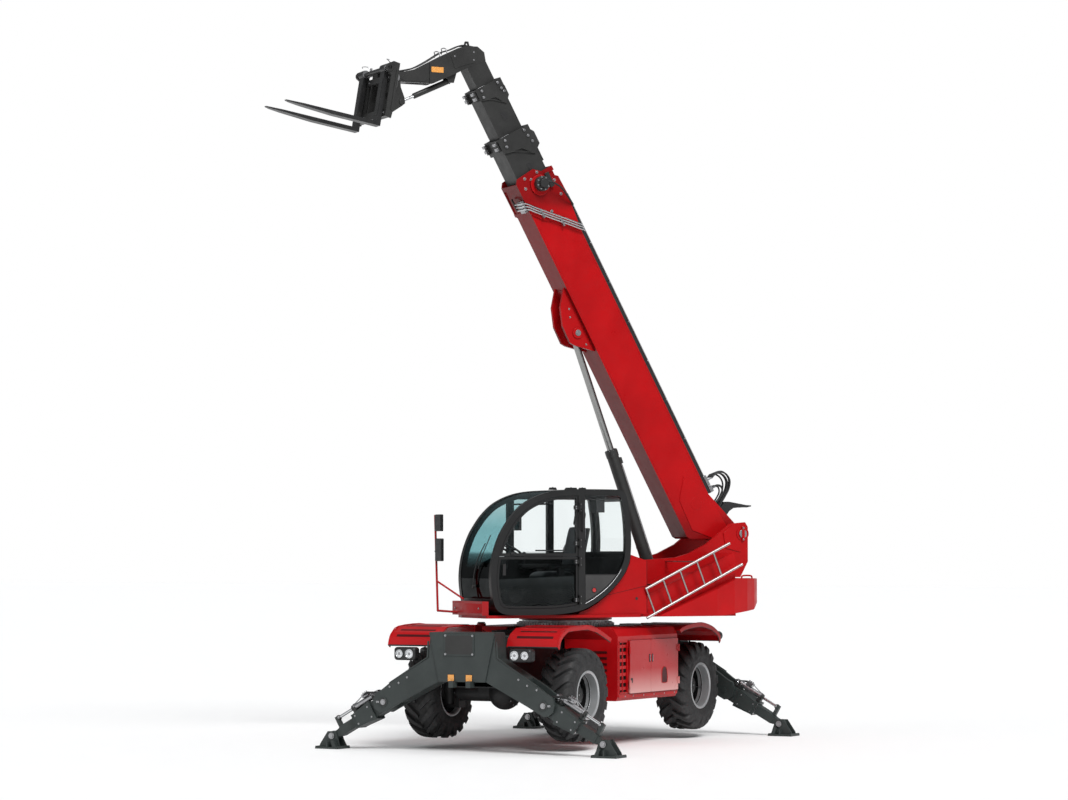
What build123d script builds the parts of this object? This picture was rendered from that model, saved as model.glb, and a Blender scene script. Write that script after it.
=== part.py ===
from build123d import *
import os
from math import sin, cos, radians, degrees, atan2, hypot

os.makedirs("parts", exist_ok=True)

# Rotating telehandler on four outriggers, in millimetres.
# +X is the chassis heading, +Y its left side, +Z up, the ground is z = 0.
# The origin is on the ground under the middle of the whole machine's box.

# ---------------------------------------------------------------- driving dimensions
SLEW_X = -331.3          # slew axis from the origin
SLEW_Y = 291.4
TURRET_ANGLE = -35.0     # turret turned to its right
BOOM_ANGLE = 61.0        # boom elevation
CARRIAGE_TILT = 9.5      # forks above level

# wheels
AXLE_X = 1624.0          # half wheelbase
WHEEL_Z = 688.0          # wheels stand 108 mm off the ground
WHEEL_Y = 960.0          # middle of the tyre
TYRE_R = 580.0
TYRE_W = 456.0
KING_Y = 800.0           # kingpin

# outriggers
LEG_X = 2582.0
PIN_Y = 1120.0
PIN_Z = 600.0
FOOT_Y = 1900.0
FOOT_Z = 160.0
LEG_DROP = degrees(atan2(PIN_Z - FOOT_Z, FOOT_Y - PIN_Y))
LEG_LEN = hypot(PIN_Z - FOOT_Z, FOOT_Y - PIN_Y)

# chassis
FRAME_Y = 360.0
FRAME_Z0, FRAME_Z1 = 780.0, 1400.0
DECK_Z = 1490.0
BOX_X0, BOX_X1 = -900.0, 820.0
BOX_Z0, BOX_Z1 = 580.0, 1500.0

# turret
TUR_Z0, TUR_Z1 = 1625.0, 1662.0
PIV_X, PIV_Z = -2450.0, 2690.0
BOOM_Y = -100.0          # middle plane of the boom
CAB_Y0, CAB_Y1 = 260.0, 1200.0

# boom sections, outer width and depth, wall, from and to along the boom
BOOM_N = -350.0          # middle line of the sections below the pivot line
SEC = {1: (400.0, 560.0, 10.0, 300.0, 5480.0),
       2: (340.0, 450.0, 8.0, 450.0, 6100.0),
       3: (280.0, 370.0, 8.0, 700.0, 6800.0),
       4: (220.0, 280.0, 8.0, 950.0, 7180.0)}

# lift cylinder: eye on the boom and foot in the turret
EYE_S, EYE_N = 3390.0, -740.0
FOOT_X, FOOT_ZC = -1400.0, 1950.0
ROD_LEN = 2140.0
BARREL_LEN = 1950.0

# fork carriage pivot and tilt cylinder, in the turret's own frame
CAR_X, CAR_Z = 2440.0, 8470.0
TC_X, TC_Z = 1620.0, 8500.0      # barrel pin
TE_R, TE_A = 320.0, -104.5       # rod eye seen from the carriage pivot

# ---------------------------------------------------------------- helpers


def box(x0, x1, y0, y1, z0, z1):
    return Pos((x0 + x1) / 2, (y0 + y1) / 2, (z0 + z1) / 2) * Box(x1 - x0, y1 - y0, z1 - z0)


def plane_of(axis, lo, hi):
    # drawing plane and extrusion for a profile square to an axis
    if axis == "y":
        return Plane(origin=(0, hi, 0), x_dir=(1, 0, 0), z_dir=(0, -1, 0))
    if axis == "x":
        return Plane(origin=(lo, 0, 0), x_dir=(0, 1, 0), z_dir=(1, 0, 0))
    return Plane(origin=(0, 0, lo), x_dir=(1, 0, 0), z_dir=(0, 0, 1))


def prism(pts, lo, hi, axis="y", r=0.0):
    pts = [(float(a), float(b)) for a, b in pts]
    line = FilletPolyline(*pts, radius=r, close=True) if r else Polyline(*pts, close=True)
    body = extrude(make_face(line), amount=hi - lo, dir=(0, 0, 1))
    return plane_of(axis, lo, hi).location * body


def spline_prism(pts, lo, hi, axis="y"):
    face = make_face(Spline(*pts, periodic=True))
    body = extrude(face, amount=hi - lo, dir=(0, 0, 1))
    return plane_of(axis, lo, hi).location * body


def cyl(p0, p1, r, bore=0.0):
    v = Vector(*p1) - Vector(*p0)
    at = Plane(origin=p0, z_dir=v).location
    al = (Align.CENTER, Align.CENTER, Align.MIN)
    body = at * Cylinder(r, v.length, align=al)
    if bore:
        body = body - at * Cylinder(bore, v.length, align=al)
    return body


def ycyl(x, z, r, y0, y1, bore=0.0):
    return cyl((x, y0, z), (x, y1, z), r, bore)


def xcyl(y, z, r, x0, x1, bore=0.0):
    return cyl((x0, y, z), (x1, y, z), r, bore)


def zcyl(x, y, r, z0, z1, bore=0.0):
    return cyl((x, y, z0), (x, y, z1), r, bore)


def turned(pts, cx, cy, cz, along_y=True):
    # solid of revolution about an axis along Y: points are (y offset, radius)
    face = make_face(Polyline(*[(float(a), float(b)) for a, b in pts], close=True))
    body = revolve(face, Axis.X, 360)
    return Pos(cx, cy, cz) * Rot(0, 0, 90) * body


def flip_y(s):
    return mirror(s, about=Plane.XZ)


def flip_x(s):
    return mirror(s, about=Plane.YZ)


def chaikin(pts, n=1):
    for _ in range(n):
        out = []
        for i in range(len(pts)):
            a, b = pts[i], pts[(i + 1) % len(pts)]
            out += [(0.75 * a[0] + 0.25 * b[0], 0.75 * a[1] + 0.25 * b[1]),
                    (0.25 * a[0] + 0.75 * b[0], 0.25 * a[1] + 0.75 * b[1])]
        pts = out
    return pts


def inset(pts, d):
    # moves a closed loop inward by d and drops the points that come too near the loop
    n = len(pts)
    area = sum(pts[i][0] * pts[(i + 1) % n][1] - pts[(i + 1) % n][0] * pts[i][1] for i in range(n))
    sgn = 1.0 if area > 0 else -1.0
    out = []
    for i in range(n):
        a, b = pts[i - 1], pts[(i + 1) % n]
        tx, ty = b[0] - a[0], b[1] - a[1]
        t = hypot(tx, ty)
        q = (pts[i][0] - sgn * ty / t * d, pts[i][1] + sgn * tx / t * d)
        near = 1e9
        for j in range(n):
            p0, p1 = pts[j], pts[(j + 1) % n]
            ex, ey = p1[0] - p0[0], p1[1] - p0[1]
            e2 = ex * ex + ey * ey
            k = max(0.0, min(1.0, ((q[0] - p0[0]) * ex + (q[1] - p0[1]) * ey) / e2))
            near = min(near, hypot(q[0] - p0[0] - k * ex, q[1] - p0[1] - k * ey))
        if near > d * 0.985:
            out.append(q)
    return out


CH = Pos(SLEW_X, SLEW_Y, 0)
TU = CH * Rot(0, 0, TURRET_ANGLE)
BO = TU * Pos(PIV_X, 0, PIV_Z) * Rot(0, -BOOM_ANGLE, 0)
CA = TU * Pos(CAR_X, 0, CAR_Z) * Rot(0, -CARRIAGE_TILT, 0)

BOXES = {}


def write(name, shape, place):
    s = place * shape
    solids = s.solids()
    out = solids[0] if len(solids) == 1 else Compound(children=list(solids))
    export_step(out, f"parts/{name}.step")
    b = out.bounding_box()
    BOXES[name] = (b.min, b.max)


# ================================================================ chassis
frame = box(-2300, 2300, -FRAME_Y, FRAME_Y, FRAME_Z0, FRAME_Z1)
frame -= box(-2310, 2310, -FRAME_Y + 16, FRAME_Y - 16, FRAME_Z0 + 16, FRAME_Z1 - 16)
for sx in (-1, 1):
    # axle saddles across the frame
    frame += box(sx * AXLE_X - 130, sx * AXLE_X + 130, -FRAME_Y, FRAME_Y, FRAME_Z0, FRAME_Z0 + 60)
frame += zcyl(0, 0, 660, FRAME_Z1 - 60, DECK_Z)
frame -= zcyl(0, 0, 380, FRAME_Z1 - 120, DECK_Z + 10)
frame += box(-1250, -560, -400, 400, FRAME_Z1, FRAME_Z1 + 60)
frame += box(560, 1250, -400, 400, FRAME_Z1, FRAME_Z1 + 60)
frame -= zcyl(0, 0, 380, FRAME_Z1 - 120, DECK_Z + 10)
write("chassis_frame", frame, CH)

ring = zcyl(0, 0, 560, DECK_Z, DECK_Z + 85, 430)
ring += zcyl(0, 0, 620, DECK_Z + 5, DECK_Z + 55, 430)
write("slew_ring", ring, CH)

# outrigger housing: centre box and two fixed arms that end in cheeks about the leg pin
arm = [(-450, 1470), (450, 1470), (472, 1155), (PIN_Y - 80, PIN_Z + 230), (PIN_Y + 30, PIN_Z + 150),
       (PIN_Y + 120, PIN_Z + 100), (PIN_Y + 152, PIN_Z + 10), (PIN_Y + 130, PIN_Z - 80),
       (PIN_Y + 60, PIN_Z - 125), (PIN_Y, PIN_Z - 132), (PIN_Y - 190, PIN_Z - 30), (330, 870)]
arm += [(-a, b) for a, b in reversed(arm[2:])]
arm = arm[:2] + arm[2:]
house = prism(arm, LEG_X - 130, LEG_X + 130, "x")
house -= prism([(-330, 1400), (330, 1400), (330, 1130), (832, 840), (806, 702), (300, 950),
                (-300, 950), (-806, 702), (-832, 840), (-330, 1130)], LEG_X - 80, LEG_X + 80, "x")
house += box(2300, LEG_X - 120, -FRAME_Y, FRAME_Y, 880, 1470) - box(2290, LEG_X - 132, -FRAME_Y + 16, FRAME_Y - 16, 900, 1450)
house += prism([(-450, 1470), (450, 1470), (318, 868), (-318, 868)], LEG_X + 120, LEG_X + 145, "x")
for sy in (-1, 1):
    lo, hi = sorted((sy * (PIN_Y - 260), sy * (PIN_Y + 260)))
    house -= box(LEG_X - 88, LEG_X + 88, lo, hi, 400, 1100)
    house += xcyl(sy * PIN_Y, PIN_Z, 35, LEG_X - 142, LEG_X + 142)
    house += xcyl(sy * PIN_Y, PIN_Z, 58, LEG_X + 129, LEG_X + 140)
    # towing lug with an upright bore
    lug = box(LEG_X + 130, LEG_X + 205, sy * 120 - 32, sy * 120 + 32, 800, 880)
    lug += box(LEG_X + 100, LEG_X + 145, sy * 120 - 32, sy * 120 + 32, 800, 900)
    lug -= zcyl(LEG_X + 172, sy * 120, 18, 790, 890)
    house += lug
rear_house = flip_x(house)
write("outrigger_housings", Compound(children=[house.solid(), rear_house.solid()]), CH)

# fenders: bent plate over each wheel with a bracket to the frame
def fender(top, x_br, zt, y0=485.0):
    cx, cz = AXLE_X * (1 if x_br > 0 else -1), WHEEL_Z
    def shrink(p, d):
        v = hypot(p[0] - cx, p[1] - cz)
        return (p[0] - (p[0] - cx) / v * d, p[1] - (p[1] - cz) / v * d)
    f = prism(top + [shrink(p, 14) for p in reversed(top)], y0, 1198, "y")
    f += prism([shrink(p, 6) for p in top] + [shrink(p, 48) for p in reversed(top)], 1184, 1198, "y")
    f += box(x_br - 90, x_br + 90, FRAME_Y, FRAME_Y + 14, 1340, zt) + box(x_br - 90, x_br + 90, FRAME_Y, y0 + 20, zt - 14, zt)
    return f


front_f = fender([(2476, 1296), (2440, 1392), (2380, 1452), (2230, 1522), (1700, 1546), (1420, 1500), (1110, 1392), (1040, 1366)], 1660, 1538.0)
rear_f = fender([(-2190, 1270), (-2160, 1345), (-2080, 1400), (-1900, 1468), (-1600, 1516), (-1300, 1502), (-1040, 1470), (-930, 1436)], -1560, 1508.0)
write("fenders", Compound(children=[front_f.solid(), flip_y(front_f).solid(), rear_f.solid(), flip_y(rear_f).solid()]), CH)

# lamp housings: twin head lamps in front, round lamps behind
lamp = fillet(box(2600, 2742, 655, 962, 1120, 1282).edges(), 40)
lamp += box(2490, 2640, 770, 850, 1250, 1276)
lamp -= xcyl(737, 1200, 58, 2715, 2760)
lamp -= xcyl(878, 1200, 58, 2715, 2760)
tail = xcyl(1120, 1330, 60, -2275, -2215) + box(-2230, -2205, 1080, 1160, 1290, 1370)
write("lamp_housings", Compound(children=[lamp.solid(), flip_y(lamp).solid(), tail.solid(), flip_y(tail).solid()]), CH)

# left housing with the engine: shell with two door openings and a grille field
hy0, hy1 = 420.0, 1170.0
hous = prism([(hy0, BOX_Z0), (hy1 - 30, BOX_Z0), (hy1, BOX_Z0 + 60), (hy1, BOX_Z1 - 110), (hy1 - 60, BOX_Z1 - 20), (hy1 - 160, BOX_Z1), (hy0, BOX_Z1)],
             BOX_X0, BOX_X1, "x")
hous -= prism([(hy0 + 15, BOX_Z0 + 15), (hy1 - 36, BOX_Z0 + 15), (hy1 - 16, BOX_Z0 + 66), (hy1 - 16, BOX_Z1 - 116), (hy1 - 74, BOX_Z1 - 36), (hy1 - 166, BOX_Z1 - 16), (hy0 + 15, BOX_Z1 - 16)],
              BOX_X0 + 15, BOX_X1 - 15, "x")
hous -= box(-850, -100, 1100, 1200, 700, 1300)
hous -= box(-60, 500, 1100, 1200, 700, 1300)
hous -= box(562, 775, 1100, 1200, 690, 1310)
for k in range(7):
    hous += box(552, 785, 1150, 1162, 715 + 88 * k, 755 + 88 * k)
hous += box(661, 676, 1150, 1166, 690, 1310)
for sz in (900, 1250):
    hous += box(BOX_X0 + 200, BOX_X0 + 300, FRAME_Y, hy0 + 5, sz - 20, sz + 20)
    hous += box(BOX_X1 - 300, BOX_X1 - 200, FRAME_Y, hy0 + 5, sz - 20, sz + 20)
hous -= zcyl(0, 0, 668, FRAME_Z1 - 70, 1700)
write("engine_housing", hous, CH)

write("engine_block", box(-640, 430, 470, 1020, 596, 1240), CH)

# right housing holds fuel and oil, closed all round
tank = prism([(-hy0, BOX_Z0), (-hy1 + 40, BOX_Z0), (-hy1, BOX_Z0 + 60), (-hy1, BOX_Z1 - 110), (-hy1 + 60, BOX_Z1 - 20), (-hy1 + 160, BOX_Z1), (-hy0, BOX_Z1)],
             BOX_X0, BOX_X1, "x")
for sz in (900, 1250):
    tank += box(BOX_X0 + 200, BOX_X0 + 300, -hy0 - 5, -FRAME_Y, sz - 20, sz + 20)
    tank += box(BOX_X1 - 300, BOX_X1 - 200, -hy0 - 5, -FRAME_Y, sz - 20, sz + 20)
tank += zcyl(620, -900, 60, BOX_Z1 - 20, BOX_Z1 + 30)
tank -= prism([(-hy0 + 5, BOX_Z0 + 20), (-hy1 + 46, BOX_Z0 + 20), (-hy1 + 14, BOX_Z0 + 70), (-hy1 + 14, BOX_Z1 - 120), (-hy1 + 70, BOX_Z1 - 34), (-hy1 + 166, BOX_Z1 - 14), (-hy0 + 5, BOX_Z1 - 14)],
              BOX_X0 + 14, BOX_X1 - 14, "x")
tank -= zcyl(0, 0, 668, FRAME_Z1 - 70, 1700)
write("tank_box", tank, CH)


def side_door(x0, x1, hinge_x):
    d = fillet(box(x0, x1, 1176, 1196, 668, 1334).edges().filter_by(Axis.Y), 18)
    for zz in (790, 1210):
        d += zcyl(hinge_x, 1200, 13, zz - 45, zz + 45)
        lo, hi = sorted((hinge_x, x0 + 30 if hinge_x < x0 + 40 else x1 - 30))
        d += box(lo, hi, 1190, 1204, zz - 40, zz + 40)
    return d


write("engine_door_rear", side_door(-872, -77, -884), CH)
write("engine_door_front", side_door(-71, 522, 534), CH)

# ---------------------------------------------------------------- axles, knuckles, wheels
axle_list = []
for sx in (1, -1):
    ax = sx * AXLE_X
    beam = ycyl(ax, WHEEL_Z, 105, -650, 650)
    beam += Pos(ax, 0, WHEEL_Z) * Sphere(205)
    beam += box(ax - 110, ax + 110, -FRAME_Y + 40, FRAME_Y - 40, WHEEL_Z, FRAME_Z0)
    beam -= box(ax - 400, ax + 400, -700, 700, FRAME_Z0, 1200)
    # steering cylinder body beside the beam
    beam += ycyl(ax - sx * 165, WHEEL_Z, 38, -330, 330)
    beam += box(min(ax - sx * 165, ax), max(ax - sx * 165, ax), -200, -150, WHEEL_Z - 30, WHEEL_Z + 30)
    beam += box(min(ax - sx * 165, ax), max(ax - sx * 165, ax), 150, 200, WHEEL_Z - 30, WHEEL_Z + 30)
    for sy in (1, -1):
        lo, hi = sorted((sy * 615, sy * 660))
        beam += box(ax - 80, ax + 80, lo, hi, WHEEL_Z - 190, WHEEL_Z + 190)
        lo, hi = sorted((sy * 640, sy * (KING_Y + 10)))
        for zz in (-190, 152):
            yoke = box(ax - 68, ax + 68, lo, hi, WHEEL_Z + zz, WHEEL_Z + zz + 38)
            yoke += zcyl(ax, sy * KING_Y, 68, WHEEL_Z + zz, WHEEL_Z + zz + 38)
            yoke -= zcyl(ax, sy * KING_Y, 38.06, WHEEL_Z + zz - 5, WHEEL_Z + zz + 45)
            beam += yoke
    axle_list.append(beam.solid())
write("axles", Compound(children=axle_list), CH)

W0 = WHEEL_Y - TYRE_W / 2      # inner face
HW = TYRE_W / 2
tyre_prof = [(-189.3, 287), (-194.3, 304.7), (-206, 306), (-222, 335), (-HW, 400), (-HW + 2, 470), (-216, 530), (-196, 562), (-160, 577), (0, TYRE_R),
             (160, 577), (196, 562), (216, 530), (HW - 2, 470), (HW, 400), (222, 335), (206, 306), (194.3, 304.7), (189.3, 287)]
rim_prof = [(-205, 290), (-205, 304), (-195, 304), (-190, 286.4), (190, 286.4), (195, 304), (205, 304), (209, 290), (200, 272),
            (60, 262), (-20, 250), (-30, 200), (-36, 125), (12, 118), (12, 80), (60, 72), (60, 0), (-14, 0), (-14, 60.06), (-72, 60.06),
            (-72, 145), (-64, 200), (-70, 236), (-120, 256), (-195, 270)]


def knuckle(ax):
    k = zcyl(ax, KING_Y, 38, WHEEL_Z - 186, WHEEL_Z + 186)
    k += zcyl(ax, KING_Y, 74, WHEEL_Z - 146, WHEEL_Z + 146)
    k += ycyl(ax, WHEEL_Z, 60, KING_Y, WHEEL_Y - 20)
    k += ycyl(ax, WHEEL_Z, 118, KING_Y + 40, KING_Y + 80)
    return k


def rim(ax):
    return turned(rim_prof, ax, WHEEL_Y, WHEEL_Z)


for tag, sx, sy in (("front_left", 1, 1), ("front_right", 1, -1), ("rear_left", -1, 1), ("rear_right", -1, -1)):
    ax = sx * AXLE_X
    parts = {"knuckle": knuckle(ax), "rim": rim(ax), "tyre": turned(tyre_prof, ax, WHEEL_Y, WHEEL_Z)}
    for nm, s in parts.items():
        write(f"{nm}_{tag}", s if sy > 0 else flip_y(s), CH)

# ---------------------------------------------------------------- outriggers
LEG = Plane(origin=(LEG_X, PIN_Y, PIN_Z), x_dir=(0, cos(radians(LEG_DROP)), -sin(radians(LEG_DROP))),
            z_dir=(0, sin(radians(LEG_DROP)), cos(radians(LEG_DROP)))).location

# leg frame: x along the leg from the pin, z above it
leg = ycyl(0, 0, 115, -83, 83) + box(0, 215, -83, 83, -100, 100)
leg += prism([(200, -128), (200, 118), (505, 80), (505, -92)], -110, 110, "y", 8)
leg += box(494, 506, -114, 114, -97, 85)
leg -= box(80, 520, -61, 61, -74, 60)
leg += ycyl(0, 0, 60, -83, 83)
leg -= ycyl(0, 0, 35.06, -100, 100)
leg += cyl((110, 0, 165), (500, 0, 165), 37)
leg += box(120, 180, -30, 30, 90, 150) + box(440, 495, -30, 30, 80, 150)
leg -= cyl((130, 0, 165), (510, 0, 165), 20)

ext = prism([(375, -70), (375, 56), (700, 56), (776, 40), (776, -66)], -57, 57, "y")
ext -= prism([(340, -60), (340, 46), (690, 46), (720, 40), (720, -58)], -47, 47, "y")
ext += box(740, 800, -48, 48, -60, 38)
ext += box(760, LEG_LEN, -48, 48, -50, 36) + ycyl(LEG_LEN, 0, 60, -48, 48)
ext += prism([(725, 30), (775, 30), (775, 190), (735, 190)], -28, 28, "y")
ext += cyl((415, 0, 165), (745, 0, 165), 19)
ext -= ycyl(LEG_LEN, 0, 28.06, -60, 60)

foot = box(LEG_X - 140, LEG_X + 140, 1765, 2105, 0, 24)
for s in (-1, 1):
    foot += prism([(1785, 20), (2085, 20), (2070, 60), (1962, 216), (1848, 216), (1795, 60)], LEG_X + s * 64 - 10, LEG_X + s * 64 + 10, "x")
foot += xcyl(FOOT_Y, FOOT_Z, 28, LEG_X - 84, LEG_X + 84)
foot += box(LEG_X - 140, LEG_X - 70, 1925, 1945, 20, 90) + box(LEG_X + 70, LEG_X + 140, 1925, 1945, 20, 90)

for tag, sx, sy in (("front_left", 1, 1), ("front_right", 1, -1), ("rear_left", -1, 1), ("rear_right", -1, -1)):
    for nm, s in (("outrigger_leg", LEG * leg), ("outrigger_extension", LEG * ext), ("outrigger_foot", foot)):
        t = s if sy > 0 else flip_y(s)
        t = t if sx > 0 else flip_x(t)
        write(f"{nm}_{tag}", t, CH)

# ================================================================ turret
plate_n = [(-620, 1662), (-620, 2335), (-1060, 2352), (-1450, 2378), (-1650, 2432), (-1910, 2552), (-2130, 2715),
           (-2270, 2822), (-2500, 2842), (-2540, 2780), (-2540, 2325), (-2425, 2118), (-1965, 2118), (-1965, 1662)]
tf = prism([(-1965, -1100), (880, -1100), (1120, -820), (1380, -150), (1380, 225), (1650, 245), (1690, 420), (1690, 1120), (1560, 1150), (-480, 1150), (-560, 1000), (-1965, 1000)],
           TUR_Z0, TUR_Z1, "z")
tf -= zcyl(0, 0, 300, TUR_Z0 - 10, TUR_Z1 + 10)
tf += zcyl(0, 0, 600, DECK_Z + 90, TUR_Z0 + 5, 400)
tf += prism(plate_n, 300, 340, "y")
tf += prism(plate_n, -540, -500, "y")
tf += box(-1965, -1780, -500, 300, TUR_Z1, 1920)
tf += box(-760, -620, -500, 300, TUR_Z1, 1740)
# bosses and pin at the boom pivot
tf += ycyl(PIV_X, PIV_Z, 60, -560, 360)
tf += ycyl(PIV_X, PIV_Z, 92, 106, 360) + ycyl(PIV_X, PIV_Z, 92, -560, -306)
# cheeks for the lift cylinder's foot, with a stub pin in each
for s in (-1, 1):
    a, b = sorted((BOOM_Y + s * 115, BOOM_Y + s * 145))
    tf += prism([(-1560, TUR_Z1 - 5), (-1240, TUR_Z1 - 5), (-1330, 2030), (-1470, 2030)], a, b, "y", 0)
    a, b = sorted((BOOM_Y + s * 88, BOOM_Y + s * 120))
    tf += ycyl(FOOT_X, FOOT_ZC, 38, a, b)
write("turret_frame", tf, TU)

# counterweight: rear block with side skirts that slope forward under the ladder
cw_side = [(-1690, 1632), (-760, 1632), (-790, 1650), (-1950, 2112), (-2420, 2106), (-2500, 2090), (-2518, 1935), (-2460, 1795), (-2310, 1702)]
cw = prism(cw_side, -1150, 1150, "y")
cw = cw & prism([(-2700, -1150), (-600, -1150), (-600, 1150), (-2700, 1150)], 1500, 2300, "z")
cw -= box(-1966, -500, -1300, 1004, 1500, 2300)
cwr = prism(cw_side, -1150, -560, "y") & box(-1967, -950, -1151, -559, 1500, 2300)
cwr -= box(-1970, -940, -1101, -559, TUR_Z0 - 1, TUR_Z1 + 1)
cwr -= box(-1970, -940, -1101, -540, 1500, TUR_Z1 + 1)
cw += cwr
for s in (-1, 1):
    cw -= prism([(-2560, s * 1300), (-2560, s * 500), (-2518, s * 590), (-2450, s * 722), (-2330, s * 862), (-2150, s * 985), (-1900, s * 1085), (-1600, s * 1151), (-1600, s * 1300)], 1500, 2300, "z")
cw -= box(-2540, -1900, BOOM_Y - 240, BOOM_Y + 240, 2030, 2200)
write("counterweight", cw, TU)

# hoods: equipment hood on the right, cover behind the cab and fairing behind the ladder
hood_r = fillet(box(-930, 880, -1145, -600, TUR_Z1 + 1, 2290).edges().filter_by(Axis.X), 70)
hood_r -= prism([(890, 2300), (890, 1990), (460, 2300)], -1200, -500, "y")
hood_r -= prism([(-940, 2300), (-940, 2130), (-700, 2300)], -1200, -500, "y")
hood_r -= prism([(-918, 1600), (868, 1600), (868, 1980), (455, 2276), (-702, 2276), (-918, 2124)], -1084, -616, "y")
hood_r -= prism([(-918, 1600), (868, 1600), (868, 1980), (480, 2200), (-720, 2200), (-918, 2100)], -1132, -616, "y")
cab_out0 = [(1385, 1664), (1520, 1690), (1605, 1762), (1650, 1960), (1662, 2180), (1625, 2420), (1535, 2660), (1440, 2810), (1345, 2932), (1215, 3050),
            (1075, 3128), (920, 3185), (760, 3218), (560, 3236), (345, 3242), (80, 3242), (-120, 3240), (-205, 3226), (-252, 3170),
            (-280, 3040), (-305, 2860), (-318, 2660), (-318, 2500), (-305, 2360), (-262, 2240), (-190, 2130), (-95, 2020), (20, 1922), (130, 1845), (260, 1770),
            (405, 1712), (600, 1680), (840, 1664), (1120, 1663)]
cab_out = cab_out0
cover = prism([(-600, TUR_Z1 + 1), (-600, 2340), (-370, 2415), (-352, 2310), (-300, 2195), (-220, 2090), (-120, 1985), (0, 1885), (120, 1800), (250, 1730), (372, 1685), (390, TUR_Z1 + 1)],
              345, 1100, "y")
fair = prism([(-608, TUR_Z1 + 1), (-608, 1880), (-1935, 2440), (-1960, 2400), (-1960, TUR_Z1 + 1)], 345, 1000, "y")
cover -= prism([(-585, 1600), (-585, 2328), (-380, 2396), (-364, 2306), (-312, 2190), (-231, 2082), (-130, 1976), (-9, 1874), (112, 1788), (244, 1717), (330, 1690), (330, 1600)], 360, 1085, "y")
fair -= prism([(-622, 1600), (-622, 1871), (-1930, 2424), (-1945, 2396), (-1945, 1600)], 360, 985, "y")
write("turret_hoods", Compound(children=[hood_r.solid(), cover.solid(), fair.solid()]), TU)

# ladder along the left side
lad = cyl((-560, 1130, 1978), (-1800, 1130, 2562), 17)
lad += cyl((-585, 1130, 1612), (-1990, 1130, 2292), 17)
ux, uz, lx, lz = -560.0, 1978.0, -700.0, 1667.6
for k in range(5):
    d = 272.0 * k
    cu, su = cos(radians(25.2)), sin(radians(25.2))
    lad += cyl((ux - 12 - d * cu, 1130, uz + 5.6 + d * su), (lx - d * cu, 1130, lz + d * su * 1.01), 13)
for x in (-680, -1300):
    z = 1978 - (x + 560) * 0.471
    lad += box(x - 12, x + 12, 341, 1130, z - 8, z + 8)
write("ladder", lad, TU)

# mirror frame in front of the cab's right corner
mf = cyl((1700, 600, 1690), (1925, 215, 1712), 14)
mf += cyl((1925, 215, 1712), (1930, 190, 2200), 14) + Pos(1925, 215, 1712) * Sphere(14)
mf += cyl((1930, 190, 2200), (1950, 185, 2920), 14) + Pos(1930, 190, 2200) * Sphere(14)
mf += cyl((1930, 196, 2085), (1730, 560, 1862), 12)
mf += fillet(box(1925, 1965, 205, 385, 2712, 2925).edges(), 12) + fillet(box(1918, 1958, 205, 385, 2335, 2622).edges(), 12)
mf += box(1945, 1955, 185, 215, 2780, 2860) + box(1935, 1948, 185, 215, 2440, 2520)
bump = prism([(1700, 300), (1775, 330), (1775, 1190), (1700, 1215)], 1664, 1838, "z")
mf += bump
write("front_bumper_and_mirrors", mf, TU)

# ---------------------------------------------------------------- cab
O1 = chaikin(cab_out, 1)
shell = spline_prism(O1, CAB_Y0, CAB_Y1)
I1 = inset(O1, 55)
shell -= spline_prism(I1, CAB_Y0 + 55, CAB_Y1 - 60)
OP = inset(O1, 80)
DOOR_X0, DOOR_X1 = 436.0, 1700.0
opening = spline_prism(OP, CAB_Y1 - 100, CAB_Y1 + 20)
shell -= opening & box(DOOR_X0, DOOR_X1, 1000, 1300, 1600, 3300)
shell -= opening & box(-600, 340, 1000, 1300, 2172, 3300)
ropen = spline_prism(OP, CAB_Y0 - 20, CAB_Y0 + 100)
shell -= ropen & box(-600, 330, 200, 400, 2452, 3120)
shell -= ropen & box(420, 900, 200, 400, 2400, 3120)
shell -= ropen & box(990, 1700, 200, 400, 2250, 3120)
# windshield and roof light
shell -= prism([(700, 3500), (2000, 3500), (2000, 1870), (1480, 1870), (1480, 2500), (1150, 2950), (700, 3090)], CAB_Y0 + 62, CAB_Y1 - 62, "y")
# rear window
shell -= box(-500, -150, CAB_Y0 + 110, CAB_Y1 - 110, 2460, 3090)
# fixed halves of the door hinges
for z in (3010, 2560, 2330, 1850):
    for dz in (35, -57):
        shell += zcyl(424, 1222, 13, z + dz, z + dz + 22) + box(412, 435, 1195, 1222, z + dz, z + dz + 22)
write("cab_shell", shell, TU)

G1 = inset(O1, 8)
G2 = inset(O1, 16)
pane = spline_prism(G1, CAB_Y0 + 64, CAB_Y1 - 64) - spline_prism(G2, CAB_Y0 + 50, CAB_Y1 - 50)
front = pane & prism([(702, 3500), (2000, 3500), (2000, 1872), (1482, 1872), (1482, 2500), (1152, 2950), (702, 3090)], CAB_Y0 + 64, CAB_Y1 - 64, "y")
OPs = inset(O1, 82)
side_l = (spline_prism(OPs, CAB_Y1 - 30, CAB_Y1 - 22)) & box(-598, 338, 1000, 1300, 2174, 3300)
r1 = spline_prism(OPs, CAB_Y0 + 22, CAB_Y0 + 30)
g1 = r1 & box(-598, 328, 200, 400, 2454, 3118)
g2 = r1 & box(422, 898, 200, 400, 2402, 3118)
g3 = r1 & box(992, 1698, 200, 400, 2252, 3118)
rear_g = pane & box(-498, -180, CAB_Y0 + 112, CAB_Y1 - 112, 2462, 3088)
glass = [s for part in (front, side_l, g1, g2, g3, rear_g) for s in part.solids()]
write("cab_glass", Compound(children=glass), TU)

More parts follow.
